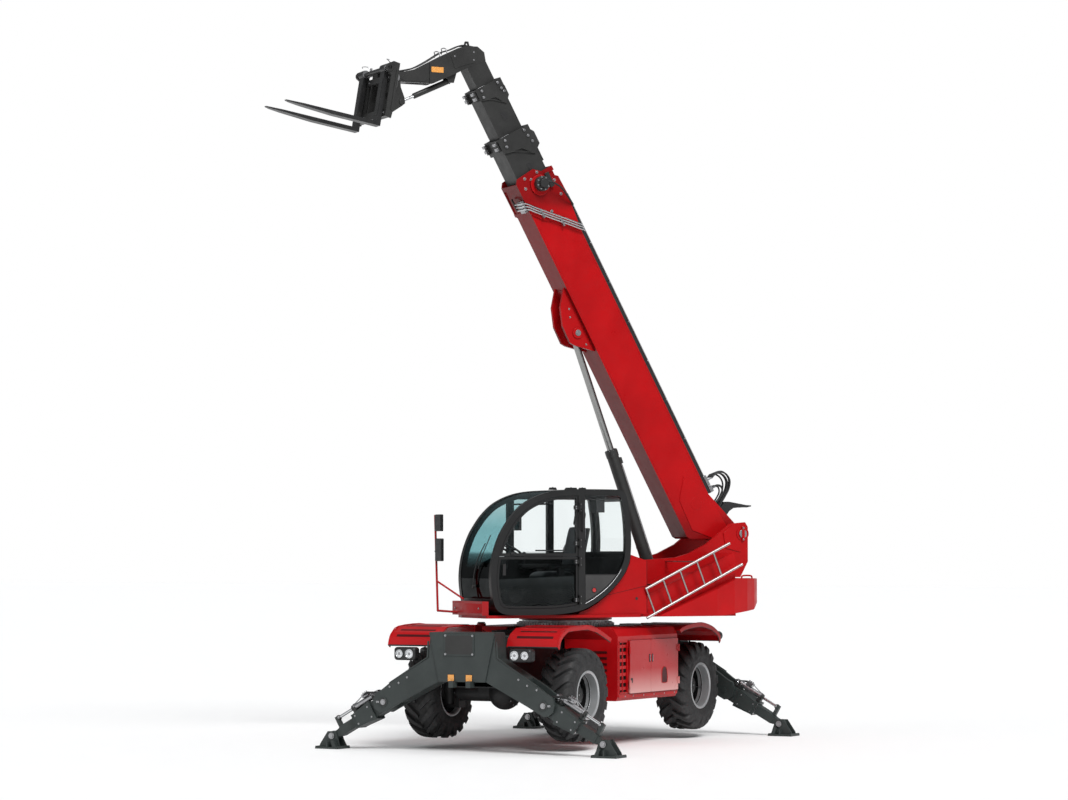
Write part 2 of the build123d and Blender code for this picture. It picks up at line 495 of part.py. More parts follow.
OD = inset(O1, 86)
dframe = spline_prism(OD, CAB_Y1 - 46, CAB_Y1 - 4)
SPLIT_Z = 2396.0
d_up = dframe & box(444, 1700, 1000, 1300, SPLIT_Z + 4, 3300)
d_lo = dframe & box(444, 1700, 1000, 1300, 1600, SPLIT_Z - 4)
ODw = inset(O1, 114)
win = spline_prism(ODw, CAB_Y1 - 60, CAB_Y1 + 10)
d_up -= win & box(468, 1700, 1000, 1300, SPLIT_Z + 40, 3300)
d_lo -= win & box(468, 1700, 1000, 1300, 1600, SPLIT_Z - 36)
HX, HY = 424.0, 1222.0


def hinge(zs):
    h = None
    for z in zs:
        a = zcyl(HX, HY, 13, z - 32, z + 32) + box(HX, 500, 1206, 1218, z - 26, z + 26)
        h = a if h is None else h + a
    return h


d_up += hinge((3010, 2560)) + box(450, 500, CAB_Y1 - 10, 1210, 2536, 2584) + box(450, 500, CAB_Y1 - 10, 1210, 2986, 3034)
d_lo += hinge((2330, 1850)) + box(450, 500, CAB_Y1 - 10, 1210, 2306, 2354) + box(450, 500, CAB_Y1 - 10, 1210, 1826, 1874)
write("door_upper", d_up, TU)
write("door_lower", d_lo, TU)
gp = spline_prism(inset(O1, 116), CAB_Y1 - 28, CAB_Y1 - 20)
write("door_upper_glass", gp & box(470, 1700, 1000, 1300, SPLIT_Z + 42, 3300), TU)
write("door_lower_glass", gp & box(470, 1700, 1000, 1300, 1600, SPLIT_Z - 38), TU)

# seat: base, cushion, back and head rest
seat = fillet(box(330, 800, 480, 960, 2080, 2200).edges(), 40)
back = Pos(330, 720, 2160) * Rot(0, -12, 0) * fillet(box(-60, 60, -230, 230, 0, 640).edges(), 45)
seat += back
seat += Pos(330, 720, 2160) * Rot(0, -12, 0) * fillet(box(-45, 45, -120, 120, 630, 840).edges(), 35)
seat += box(600, 800, 540, 900, 1742, 2090)
write("seat", seat, TU)

# console: dash, steering column and wheel, arm rests with levers
con = prism([(1250, 1734), (1450, 1800), (1530, 2060), (1480, 2320), (1330, 2380), (1290, 2250), (1370, 2050), (1330, 1800)], 560, 900, "y")
con += cyl((1330, 730, 2180), (1160, 730, 2470), 32)
sw = Pos(1155, 730, 2480) * Rot(0, -31, 0) * Torus(165, 13)
sw += Pos(1155, 730, 2480) * Rot(0, -31, 0) * Box(320, 26, 14)
sw += Pos(1155, 730, 2480) * Rot(0, -31, 0) * Box(26, 320, 14)
sw += Pos(1155, 730, 2480) * Rot(0, -31, 0) * Cylinder(40, 30)
con += sw
con += box(1240, 1370, 560, 900, 1734, 1800)
rest = fillet(box(420, 860, 350, 455, 2240, 2300).edges(), 20) + box(560, 640, 370, 440, 1745, 2250) + zcyl(800, 402, 14, 2290, 2420) + Pos(800, 402, 2425) * Sphere(28)
rest_l = fillet(box(420, 800, 985, 1080, 2240, 2300).edges(), 20) + box(560, 640, 1000, 1060, 1745, 2250)
write("console", Compound(children=[con.solid(), rest.solid(), rest_l.solid()]), TU)

# ================================================================ boom
# boom frame: x along the boom from the pivot, z square to it, y as in the turret


def section(k, grow=0.0):
    w, d, t, s0, s1 = SEC[k]
    a = box(s0, s1, BOOM_Y - w / 2, BOOM_Y + w / 2, BOOM_N - d / 2, BOOM_N + d / 2)
    return a - box(s0 - 10, s1 + 10, BOOM_Y - w / 2 + t, BOOM_Y + w / 2 - t, BOOM_N - d / 2 + t, BOOM_N + d / 2 - t)


def band(k, s0, s1, out, y_pad=None):
    # collar about a section's head
    w, d, t, _, _ = SEC[k]
    a = box(s0, s1, BOOM_Y - w / 2 - out, BOOM_Y + w / 2 + out, BOOM_N - d / 2 - out, BOOM_N + d / 2 + out)
    return a - box(s0 - 10, s1 + 10, BOOM_Y - w / 2 + t, BOOM_Y + w / 2 - t, BOOM_N - d / 2 + t, BOOM_N + d / 2 - t)


b1 = section(1)
b1 -= prism([(280, -50), (575, -50), (575, -70), (360, -280), (200, -500), (290, -650), (0, -650), (0, -50)], -400, 200, "y")
for a, b in ((BOOM_Y - 200, BOOM_Y - 176), (BOOM_Y + 176, BOOM_Y + 200)):
    b1 += prism([(-60, 70), (-20, 98), (90, 98), (640, -70), (760, -300), (620, -560), (300, -629), (255, -600), (60, -240), (-70, -70)], a, b, "y", 0)
b1 += ycyl(0, 0, 102, BOOM_Y - 200, BOOM_Y + 200)
b1 -= ycyl(0, 0, 60.06, -400, 200)
# head: deeper plates and a raised cover around the mouth
b1 += band(1, 5420, 5480, 14)
for a, b in ((BOOM_Y - 222, BOOM_Y - 200), (BOOM_Y + 200, BOOM_Y + 222)):
    b1 += prism([(4600, -75), (5080, -30), (5320, -40), (5560, -330), (5540, -600), (5480, -644), (5060, -640), (4900, -500), (4700, -140)], a, b, "y", 0)
b1 += box(5060, 5100, BOOM_Y - 222, BOOM_Y + 222, -60, -30) + box(5060, 5100, BOOM_Y - 222, BOOM_Y + 222, -645, -629)
# lug for the lift cylinder
for a, b in ((BOOM_Y - 142, BOOM_Y - 102), (BOOM_Y + 102, BOOM_Y + 142)):
    b1 += prism([(3060, -629), (3270, -860), (3330, -900), (3560, -892), (3800, -800), (4000, -629)], a, b, "y", 0)
b1 += ycyl(EYE_S, EYE_N, 40, BOOM_Y - 150, BOOM_Y + 150)
b1 += box(3100, 3960, BOOM_Y - 142, BOOM_Y + 142, -644, -629)
write("boom_base", b1, BO)

tray = box(620, 5050, BOOM_Y - 110, BOOM_Y + 110, -70, 26) - box(640, 5060, BOOM_Y - 98, BOOM_Y + 98, -58, 30)
tray += box(700, 4900, BOOM_Y - 70, BOOM_Y + 70, -58, 8)
write("hose_tray", tray, BO)


def collar(k, s0, s1, out, ear):
    c = band(k, s0, s1, out)
    w, d, t, _, _ = SEC[k]
    for sgn in (-1, 1):
        a, b = sorted((BOOM_Y + sgn * (w / 2), BOOM_Y + sgn * (w / 2 + out)))
        n1, n0 = BOOM_N + d / 2, BOOM_N - d / 2
        c += prism([(s1, n0 + 30), (s1, n1 - 30), (s1 - 120, n1 + ear), (s0 - 90, n1 + ear), (s0 - 180, n1 - 60), (s0 - 40, n0 + d * 0.55), (s0, n0 + 10)],
                   a, b, "y", 0)
    for sgn in (-1, 1):
        a, b = sorted((BOOM_Y + sgn * (w / 2 - 40), BOOM_Y + sgn * (w / 2 + 2)))
        c += box(s1 - 150, s1 - 20, a, b, BOOM_N - d / 2 - out - 38, BOOM_N - d / 2 - out + 2)
    return c


s2 = section(2) + collar(2, 5900, 6100, 26, 62)
write("boom_stage_2", s2, BO)
s3 = section(3) + collar(3, 6640, 6800, 20, 26)
write("boom_stage_3", s3, BO)

s4 = section(4)
# the nose is drawn in the turret's own frame and brought into the boom frame
TO_BOOM = (Pos(PIV_X, 0, PIV_Z) * Rot(0, -BOOM_ANGLE, 0)).inverse()
nose_poly = [(1160, 8775), (1180, 8880), (1275, 8948), (1460, 8942), (1722, 8815), (2110, 8610), (2300, 8560), (2470, 8545),
             (2500, 8500), (2490, 8420), (2400, 8425), (1900, 8432), (1560, 8590), (1425, 8660)]
nose = prism(nose_poly, BOOM_Y - 112, BOOM_Y + 112, "y")
nose -= box(1950, 2700, BOOM_Y + 98, BOOM_Y + 200, 8300, 8700) + box(1950, 2700, BOOM_Y - 200, BOOM_Y - 98, 8300, 8700)
nose -= ycyl(CAR_X, CAR_Z, 35.06, -400, 200)
nose -= prism([(1560, 8400), (1560, 8560), (1700, 8585), (1960, 8530), (2240, 8478), (2240, 8400)], BOOM_Y - 47.5, BOOM_Y + 47.5, "y")
for s in (-1, 1):
    a, b = sorted((BOOM_Y + s * 48, BOOM_Y + s * 66))
    nose += prism([(TC_X - 70, 8600), (TC_X + 90, 8560), (TC_X + 40, TC_Z - 36), (TC_X - 30, TC_Z - 36)], a, b, "y")
nose += ycyl(TC_X, TC_Z, 15, BOOM_Y - 66, BOOM_Y + 66)
# lifting eye on top of the nose
eye = prism([(1335, 8935), (1425, 8935), (1400, 9020), (1360, 9020)], BOOM_Y - 16, BOOM_Y + 16, "y") - ycyl(1380, 8982, 16, -400, 200)
nose += eye
s4 += TO_BOOM * nose
write("boom_stage_4", s4, BO)

# ---------------------------------------------------------------- lift cylinder
ca, sa = cos(radians(BOOM_ANGLE)), sin(radians(BOOM_ANGLE))
EX = PIV_X + EYE_S * ca - EYE_N * sa
EZ = PIV_Z + EYE_S * sa + EYE_N * ca
LIFT_L = hypot(EX - FOOT_X, EZ - FOOT_ZC)
LIFT_A = degrees(atan2(EZ - FOOT_ZC, EX - FOOT_X))
LI = TU * Pos(FOOT_X, BOOM_Y, FOOT_ZC) * Rot(0, -LIFT_A, 0)
barrel = cyl((120, 0, 0), (BARREL_LEN, 0, 0), 78) + cyl((BARREL_LEN - 90, 0, 0), (BARREL_LEN, 0, 0), 84)
barrel += box(0, 130, -60, 60, -66, 66) + ycyl(0, 0, 80, -80, 80)
barrel -= cyl((150, 0, 0), (BARREL_LEN + 10, 0, 0), 46)
barrel -= ycyl(0, 0, 40, -90, 90)
write("lift_barrel", barrel, LI)
rod = cyl((LIFT_L - ROD_LEN, 0, 0), (LIFT_L - 50, 0, 0), 45) + ycyl(LIFT_L, 0, 74, -94, 94)
rod -= ycyl(LIFT_L, 0, 40.06, -100, 100)
write("lift_rod", rod, LI)

# ---------------------------------------------------------------- tilt cylinder
TEX = CAR_X + TE_R * cos(radians(TE_A))
TEZ = CAR_Z + TE_R * sin(radians(TE_A))
TILT_L = hypot(TEX - TC_X, TEZ - TC_Z)
TILT_A = degrees(atan2(TEZ - TC_Z, TEX - TC_X))
TI = TU * Pos(TC_X, BOOM_Y, TC_Z) * Rot(0, -TILT_A, 0)
tb = cyl((45, 0, 0), (560, 0, 0), 36) + ycyl(0, 0, 34, -40, 40) + box(0, 60, -30, 30, -24, 24)
tb -= ycyl(0, 0, 15.06, -50, 50)
tb -= cyl((60, 0, 0), (570, 0, 0), 19)
write("tilt_barrel", tb, TI)
tr = cyl((278, 0, 0), (TILT_L - 15, 0, 0), 18) + ycyl(TILT_L, 0, 28, -34, 34) - ycyl(TILT_L, 0, 17, -50, 50)
write("tilt_rod", tr, TI)

# ---------------------------------------------------------------- fork carriage
# carriage frame: x along the forks, z square to them, origin on the carriage pivot
exl = (TEX - CAR_X) * cos(radians(CARRIAGE_TILT)) + (TEZ - CAR_Z) * sin(radians(CARRIAGE_TILT))
ezl = -(TEX - CAR_X) * sin(radians(CARRIAGE_TILT)) + (TEZ - CAR_Z) * cos(radians(CARRIAGE_TILT))
SH_X, SH_Z = 242.0, 30.0
YC0, YC1 = BOOM_Y - 475, BOOM_Y + 475
car = None
for s in (-1, 1):
    a, b = sorted((BOOM_Y + s * 115, BOOM_Y + s * 140))
    br = prism([(-62, -10), (-45, 45), (40, 92), (150, 96), (200, 60), (200, -560), (90, -560), (-140, -345), (-182, -300), (-165, -235), (-90, -110)], a, b, "y", 0)
    br += ycyl(0, 0, 62, a, b)
    a2, b2 = sorted((BOOM_Y + s * 45, BOOM_Y + s * 120))
    br += ycyl(exl, ezl, 14, a2, b2)
    car = br if car is None else car + br
car += ycyl(0, 0, 35, BOOM_Y - 150, BOOM_Y + 150)
for a, b in ((YC0, YC0 + 28), (YC1 - 28, YC1)):
    car += prism([(110, 110), (200, 120), (280, 70), (285, 0), (206, -60), (206, -590), (120, -600), (110, -500)], a, b, "y", 0)
car += ycyl(SH_X, SH_Z, 28, YC0 - 12, YC1 + 12)
car += box(130, 204, YC0, YC1, -120, -40) + box(130, 206, YC0, YC1, -590, -490) + box(120, 150, YC0, YC1, 40, 100)
for yy in (BOOM_Y - 260, BOOM_Y + 260):
    car += box(150, 200, yy - 45, yy + 45, -500, -40)
write("fork_carriage", car, CA)


def fork(yc):
    f = prism([(215, -715), (850, -715), (1440, -684), (1495, -674), (1500, -665), (290, -665), (271, -646), (271, -20), (215, -20)], yc - 65, yc + 65, "y")
    f -= prism([(1250, yc - 70), (1520, yc - 70), (1520, yc - 30), (1500, yc - 30)], -800, -600, "z")
    f -= prism([(1250, yc + 70), (1520, yc + 70), (1520, yc + 30), (1500, yc + 30)], -800, -600, "z")
    f += ycyl(SH_X, SH_Z, 54, yc - 65, yc + 65)
    f -= ycyl(SH_X, SH_Z, 28.08, yc - 80, yc + 80)
    return f


write("fork_left", fork(BOOM_Y + 330), CA)
write("fork_right", fork(BOOM_Y - 330), CA)

# ---------------------------------------------------------------- overall box
lo = [min(b[0].X for b in BOXES.values()), min(b[0].Y for b in BOXES.values()), min(b[0].Z for b in BOXES.values())]
hi = [max(b[1].X for b in BOXES.values()), max(b[1].Y for b in BOXES.values()), max(b[1].Z for b in BOXES.values())]
print("box", [round(v, 1) for v in lo], [round(v, 1) for v in hi])
print("centre", round((lo[0] + hi[0]) / 2, 1), round((lo[1] + hi[1]) / 2, 1), "nodes", len(BOXES))
print("lift", round(LIFT_L, 2), round(LIFT_A, 3), "tilt", round(TILT_L, 2), round(TILT_A, 3), "leg", round(LEG_LEN, 2), round(LEG_DROP, 3))
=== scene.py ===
import math
import random

import bmesh
import bpy
from mathutils import Matrix, Vector


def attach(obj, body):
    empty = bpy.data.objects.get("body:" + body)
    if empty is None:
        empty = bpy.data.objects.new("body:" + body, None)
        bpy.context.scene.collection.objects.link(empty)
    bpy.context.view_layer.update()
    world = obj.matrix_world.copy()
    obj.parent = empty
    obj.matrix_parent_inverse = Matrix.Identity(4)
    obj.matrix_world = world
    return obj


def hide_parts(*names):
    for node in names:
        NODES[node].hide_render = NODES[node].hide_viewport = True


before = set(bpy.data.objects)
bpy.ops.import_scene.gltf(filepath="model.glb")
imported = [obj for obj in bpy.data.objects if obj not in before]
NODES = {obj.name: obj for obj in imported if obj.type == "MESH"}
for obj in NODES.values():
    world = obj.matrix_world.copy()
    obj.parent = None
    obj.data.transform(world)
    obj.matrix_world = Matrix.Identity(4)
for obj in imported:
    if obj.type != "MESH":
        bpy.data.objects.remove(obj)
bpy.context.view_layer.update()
R = math.radians

# ------------------------------------------------------------------ places
SX, SY = -0.3313, 0.2914
CH = Matrix.Translation((SX, SY, 0))
TU = CH @ Matrix.Rotation(R(-35), 4, "Z")
BO = TU @ Matrix.Translation((-2.45, 0, 2.69)) @ Matrix.Rotation(R(-61), 4, "Y")
CA = TU @ Matrix.Translation((2.44, 0, 8.47)) @ Matrix.Rotation(R(-9.5), 4, "Y")
LEG_X, PIN_Y, PIN_Z, FOOT_Y, FOOT_Z = 2.582, 1.12, 0.6, 1.9, 0.16
DROP = math.atan2(PIN_Z - FOOT_Z, FOOT_Y - PIN_Y)
LEG_LEN = math.hypot(PIN_Z - FOOT_Z, FOOT_Y - PIN_Y)
CORNERS = (("front_left", 1, 1), ("front_right", 1, -1), ("rear_left", -1, 1), ("rear_right", -1, -1))


def side(sx, sy):
    return CH @ Matrix.Diagonal((sx, sy, 1, 1))


def leg_place(sx, sy):
    c, s = math.cos(DROP), math.sin(DROP)
    m = Matrix(((0, 1, 0, LEG_X), (c, 0, s, PIN_Y), (-s, 0, c, PIN_Z), (0, 0, 0, 1)))
    return side(sx, sy) @ m


# ------------------------------------------------------------------ camera
D, H, TH, F, PITCH, YAW = 41.926, 2.4915, 0.4825, 3231.7, 0.0460, -0.0097
cam_data = bpy.data.cameras.new("camera")
cam = bpy.data.objects.new("camera", cam_data)
bpy.context.scene.collection.objects.link(cam)
fx, fy, fz = math.cos(PITCH) * math.sin(YAW), math.cos(PITCH) * math.cos(YAW), math.sin(PITCH)
look = Vector((-math.sin(TH) * fx - math.cos(TH) * fy, math.cos(TH) * fx - math.sin(TH) * fy, fz))
cam.location = (SX + D * math.cos(TH), SY + D * math.sin(TH), H)
cam.rotation_euler = look.to_track_quat("-Z", "Y").to_euler()
cam_data.sensor_width = 36
cam_data.lens = 36 * F / 1068
cam_data.clip_end = 400
bpy.context.scene.camera = cam


# ------------------------------------------------------------------ materials
class G:
    """Small node-graph helper."""

    def __init__(self, name):
        self.m = bpy.data.materials.new(name)
        self.m.use_nodes = True
        self.t = self.m.node_tree
        self.b = self.t.nodes["Principled BSDF"]
        self.out = self.t.nodes["Material Output"]
        tc = self.t.nodes.new("ShaderNodeTexCoord")
        self.obj = tc.outputs["Object"]

    def n(self, kind, **kw):
        x = self.t.nodes.new(kind)
        for k, v in kw.items():
            setattr(x, k, v)
        return x

    def l(self, a, b):
        self.t.links.new(a, b)

    def noise(self, scale, detail=4.0, rough=0.55, vec=None):
        x = self.n("ShaderNodeTexNoise")
        x.inputs["Scale"].default_value = scale
        x.inputs["Detail"].default_value = detail
        x.inputs["Roughness"].default_value = rough
        self.l(vec or self.obj, x.inputs["Vector"])
        return x.outputs["Fac"]

    def rng(self, src, a, b, c, d):
        x = self.n("ShaderNodeMapRange")
        for i, v in zip((1, 2, 3, 4), (a, b, c, d)):
            x.inputs[i].default_value = v
        self.l(src, x.inputs[0])
        return x.outputs[0]

    def mix(self, fac, a, b):
        x = self.n("ShaderNodeMix", data_type="RGBA")
        if isinstance(fac, (int, float)):
            x.inputs["Factor"].default_value = fac
        else:
            self.l(fac, x.inputs["Factor"])
        for sock, v in ((x.inputs[6], a), (x.inputs[7], b)):
            if isinstance(v, tuple):
                sock.default_value = (*v, 1)
            else:
                self.l(v, sock)
        return x.outputs[2]

    def math(self, op, a, b=0.0):
        x = self.n("ShaderNodeMath", operation=op)
        for sock, v in ((x.inputs[0], a), (x.inputs[1], b)):
            if isinstance(v, (int, float)):
                sock.default_value = v
            else:
                self.l(v, sock)
        return x.outputs[0]

    def xyz(self, vec=None):
        x = self.n("ShaderNodeSeparateXYZ")
        self.l(vec or self.obj, x.inputs[0])
        return x.outputs

    def turned(self, rot_z, loc=(0, 0, 0)):
        a = self.n("ShaderNodeVectorMath", operation="SUBTRACT")
        a.inputs[1].default_value = loc
        self.l(self.obj, a.inputs[0])
        x = self.n("ShaderNodeVectorRotate", rotation_type="Z_AXIS")
        x.inputs["Angle"].default_value = rot_z
        self.l(a.outputs[0], x.inputs["Vector"])
        return x.outputs[0]

    def bump(self, src, strength, dist):
        x = self.n("ShaderNodeBump")
        x.inputs["Strength"].default_value = strength
        x.inputs["Distance"].default_value = dist
        self.l(src, x.inputs["Height"])
        self.l(x.outputs[0], self.b.inputs["Normal"])

    def color(self, c):
        self.l(c, self.b.inputs["Base Color"])

    def rough(self, c):
        self.l(c, self.b.inputs["Roughness"])


def paint(name, base, rough=0.3, coat=0.0, var=0.12, dust=(0.32, 0.29, 0.25), dusty=0.05, low_dirt=0.0, orange=0.00035, spec=0.3):
    g = G(name)
    dark = tuple(c * (1 - var) for c in base)
    lite = tuple(min(1, c * (1 + var)) for c in base)
    c = g.mix(g.rng(g.noise(1.7, 5), 0.35, 0.65, 0, 1), dark, lite)
    d = g.rng(g.noise(11, 8, 0.7), 0.52, 0.78, 0, dusty)
    if low_dirt:
        z = g.rng(g.xyz()[2], 0.15, 1.1, low_dirt, 0.0)
        d = g.math("ADD", d, g.math("MULTIPLY", z, g.rng(g.noise(6, 8, 0.7), 0.35, 0.7, 0, 1)))
    g.color(g.mix(d, c, dust))
    g.rough(g.rng(g.noise(7, 6, 0.6), 0.3, 0.7, rough * 0.8, rough * 1.25))
    g.bump(g.noise(160, 2, 0.5), 0.35, orange)
    g.b.inputs["Coat Weight"].default_value = coat
    g.b.inputs["Coat Roughness"].default_value = 0.08
    g.b.inputs["Specular IOR Level"].default_value = spec
    return g.m


RED = (0.375, 0.0026, 0.0042)
m_red = paint("red_paint", RED, 0.36, 0.10, 0.10, (0.20, 0.020, 0.018), 0.10, spec=0.13)
m_red_low = paint("red_paint_low", (0.360, 0.0030, 0.0050), 0.37, 0.12, 0.12, (0.16, 0.026, 0.021), 0.16, 0.18, spec=0.15)
# dark red: painted shade in louvres, recesses, fender ribs and under the counterweight lip, and the dark seams between
# panels
m_red_dark = paint("red_painted_shade_and_seams", (0.050, 0.003, 0.004), 0.45, 0.05, 0.2, (0.05, 0.012, 0.012), 0.14, spec=0.2)
m_char = paint("charcoal_paint", (0.0235, 0.0235, 0.0230), 0.44, 0.05, 0.16, (0.055, 0.055, 0.053), 0.14)
m_cab = paint("cab_frame_paint", (0.0115, 0.0118, 0.0122), 0.40, 0.08, 0.14, (0.035, 0.035, 0.035), 0.10)
m_out = paint("outrigger_paint", (0.0275, 0.0340, 0.0330), 0.44, 0.05, 0.14, (0.070, 0.073, 0.068), 0.16, 0.12)
m_chas = paint("chassis_paint", (0.013, 0.013, 0.0135), 0.5, 0.03, 0.2, (0.050, 0.047, 0.044), 0.3, 0.2)
m_rim = paint("rim_silver", (0.42, 0.43, 0.44), 0.33, 0.2, 0.05, (0.32, 0.30, 0.27), 0.25, 0.15)
m_rim.node_tree.nodes["Principled BSDF"].inputs["Metallic"].default_value = 0.55



def dark_disc(m):
    # inside the barrel the disc is drawn near black, the rest of the rim stays silver
    t = m.node_tree
    b = t.nodes["Principled BSDF"]
    src = b.inputs["Base Color"].links[0].from_socket
    tc = t.nodes.new("ShaderNodeTexCoord")
    sep = t.nodes.new("ShaderNodeSeparateXYZ")
    t.links.new(tc.outputs["Object"], sep.inputs[0])

    def mth(op, a, c=0.0):
        x = t.nodes.new("ShaderNodeMath")
        x.operation = op
        for sock, v in ((x.inputs[0], a), (x.inputs[1], c)):
            if isinstance(v, (int, float)):
                sock.default_value = v
            else:
                t.links.new(v, sock)
        return x.outputs[0]

    dx = mth("SUBTRACT", mth("ABSOLUTE", mth("SUBTRACT", sep.outputs[0], SX)), 1.624)
    dz = mth("SUBTRACT", sep.outputs[2], 0.688)
    r = mth("SQRT", mth("ADD", mth("MULTIPLY", dx, dx), mth("MULTIPLY", dz, dz)))
    f = mth("LESS_THAN", r, 0.2600)
    mx = t.nodes.new("ShaderNodeMix")
    mx.data_type = "RGBA"
    t.links.new(f, mx.inputs["Factor"])
    t.links.new(src, mx.inputs[6])
    mx.inputs[7].default_value = (0.012, 0.012, 0.0125, 1)
    t.links.new(mx.outputs[2], b.inputs["Base Color"])


dark_disc(m_rim)
m_hub = paint("hub_paint", (0.013, 0.0135, 0.014), 0.45, 0.1, 0.2, (0.12, 0.11, 0.10), 0.3, 0.2)


def metal(name, base, rough, brushed=0.0, scale=40.0):
    g = G(name)
    c = g.mix(g.rng(g.noise(scale, 6, 0.6), 0.3, 0.7, 0, 1), tuple(v * 0.88 for v in base), base)
    g.color(c)
    g.rough(g.rng(g.noise(scale * 0.4, 5, 0.6), 0.3, 0.7, rough * 0.75, rough * 1.35))
    g.b.inputs["Metallic"].default_value = 1.0
    if brushed:
        m = g.n("ShaderNodeMapping")
        m.inputs["Scale"].default_value = (3, 3, 90)
        g.l(g.obj, m.inputs["Vector"])
        g.bump(g.noise(30, 3, 0.6, m.outputs[0]), brushed, 0.0006)
    else:
        g.bump(g.noise(220, 2), 0.15, 0.0002)
    return g.m


m_chrome = metal("hard_chrome", (0.55, 0.56, 0.57), 0.16)
m_rod = metal("ground_chrome_rod", (0.30, 0.30, 0.295), 0.30, 0.2)
m_steel = metal("zinc_steel", (0.36, 0.36, 0.37), 0.36, 0.25)
m_ladder = metal("ladder_steel", (0.42, 0.385, 0.38), 0.34, 0.2)
m_mirror = metal("mirror_face", (0.85, 0.86, 0.87), 0.03)
m_fork = paint("fork_steel", (0.014, 0.014, 0.0145), 0.40, 0.1, 0.25, (0.075, 0.070, 0.065), 0.35)


def plastic(name, base, rough, grain=0.25, gscale=400, var=0.2):
    g = G(name)
    g.color(g.mix(g.rng(g.noise(5, 6), 0.3, 0.7, 0, 1), tuple(v * (1 - var) for v in base), tuple(v * (1 + var) for v in base)))
    g.rough(g.rng(g.noise(13, 5), 0.3, 0.7, rough * 0.85, rough * 1.15))
    v = g.n("ShaderNodeTexVoronoi")
    v.inputs["Scale"].default_value = gscale
    g.l(g.obj, v.inputs["Vector"])
    g.bump(v.outputs["Distance"], grain, 0.0007)
    return g.m


m_black = plastic("black_plastic", (0.0075, 0.0075, 0.008), 0.5)
m_rubber = plastic("hose_rubber", (0.006, 0.006, 0.0065), 0.55, 0.15, 250)
m_seal = plastic("seal_rubber", (0.008, 0.008, 0.009), 0.6, 0.1, 300)
m_cast = plastic("cast_block", (0.032, 0.032, 0.034), 0.7, 0.6, 90)
m_dash = plastic("dash_plastic", (0.012, 0.012, 0.013), 0.6, 0.4, 260)
m_panel = plastic("door_inner_panel", (0.034, 0.034, 0.034), 0.42, 0.25, 120)


def door_panel_mat():
    # moulded grey trim with painted shade: near black below, paler along its upper edge
    g = G("door_panel_grey_painted_shade")
    f = g.rng(g.xyz()[2], 1.80, 2.12, 0.0, 1.0)
    c = g.mix(g.math("POWER", f, 2.2), (0.006, 0.006, 0.006), (0.120, 0.120, 0.122))
    g.color(g.mix(g.rng(g.noise(5, 6), 0.3, 0.7, 0, 0.25), c, (0.016, 0.016, 0.016)))
    g.rough(g.rng(g.noise(13, 5), 0.3, 0.7, 0.48, 0.60))
    g.b.inputs["Specular IOR Level"].default_value = 0.2
    return g.m


m_doorpanel = door_panel_mat()


def tyre_mat(name, base, bumps):
    g = G(name)
    c = g.mix(g.rng(g.noise(9, 8, 0.7), 0.35, 0.7, 0, 1), base, tuple(v * 1.9 for v in base))
    d = g.rng(g.noise(3.5, 7, 0.7), 0.5, 0.8, 0, 0.35)
    g.color(g.mix(d, c, (0.034, 0.031, 0.028)))
    g.rough(g.rng(g.noise(20, 6, 0.6), 0.3, 0.7, 0.55, 0.85))
    g.bump(g.noise(60, 8, 0.7), bumps, 0.004)
    return g.m


m_tyre = tyre_mat("tyre_rubber", (0.010, 0.010, 0.0105), 0.35)
m_lug = tyre_mat("tread_rubber", (0.013, 0.013, 0.0135), 0.5)


def fabric(name, base):
    g = G(name)
    w = g.n("ShaderNodeTexWave", wave_type="BANDS", bands_direction="DIAGONAL")
    w.inputs["Scale"].default_value = 190
    w.inputs["Distortion"].default_value = 1.2
    w.inputs["Detail"].default_value = 2
    g.l(g.obj, w.inputs["Vector"])
    w2 = g.n("ShaderNodeTexWave", wave_type="BANDS", bands_direction="Z")
    w2.inputs["Scale"].default_value = 150
    g.l(g.obj, w2.inputs["Vector"])
    h = g.math("MULTIPLY", w.outputs["Fac"], w2.outputs["Fac"])
    g.color(g.mix(h, tuple(v * 0.6 for v in base), base))
    g.b.inputs["Roughness"].default_value = 0.9
    g.b.inputs["Sheen Weight"].default_value = 0.3
    g.bump(h, 0.4, 0.001)
    return g.m


m_fabric = fabric("seat_fabric", (0.050, 0.052, 0.060))


def glass(name, tint, gloss=0.10, windshield=False):
    g = G(name)
    t, o = g.t, g.out
    tr = g.n("ShaderNodeBsdfTransparent")
    gl = g.n("ShaderNodeBsdfGlossy")
    gl.inputs["Roughness"].default_value = 0.02
    gl.inputs["Color"].default_value = (0.9, 0.95, 0.96, 1)
    mx = g.n("ShaderNodeMixShader")
    lw = g.n("ShaderNodeLayerWeight")
    lw.inputs["Blend"].default_value = 0.25
    edge = g.math("MULTIPLY", g.math("POWER", lw.outputs["Facing"], 3.0), 0.30)
    smear = g.rng(g.noise(2.2, 5, 0.6), 0.3, 0.8, gloss * 0.4, gloss * 1.3)
    g.l(g.math("ADD", edge, smear), mx.inputs[0])
    if windshield:
        # windscreen: painted shade makes the lower glass near black and painted light makes it paler towards the top
        p = g.xyz(g.turned(R(35), (SX, SY, 0)))
        f = g.math("MULTIPLY", g.math("GREATER_THAN", p[0], 0.69), g.math("GREATER_THAN", p[1], 0.315))
        low = g.rng(p[2], 2.24, 2.44, 0.0, 1.0)
        painted_light_top = g.rng(p[2], 2.75, 3.10, 0.0, 1.0)
        painted_shade_and_light = g.mix(low, (0.03, 0.035, 0.038), g.mix(painted_light_top, tint, (0.66, 0.80, 0.81)))
        band = g.mix(g.rng(p[2], 2.42, 2.46, 0.0, 1.0), (0.52, 0.54, 0.54), (0.97, 0.985, 0.985))
        g.l(g.mix(f, band, painted_shade_and_light), tr.inputs["Color"])
    else:
        g.l(g.mix(g.noise(1.5, 3), tint, tuple(min(1, v * 1.02) for v in tint)), tr.inputs["Color"])
    g.l(tr.outputs[0], mx.inputs[1])
    g.l(gl.outputs[0], mx.inputs[2])
    g.l(mx.outputs[0], o.inputs["Surface"])
    return g.m


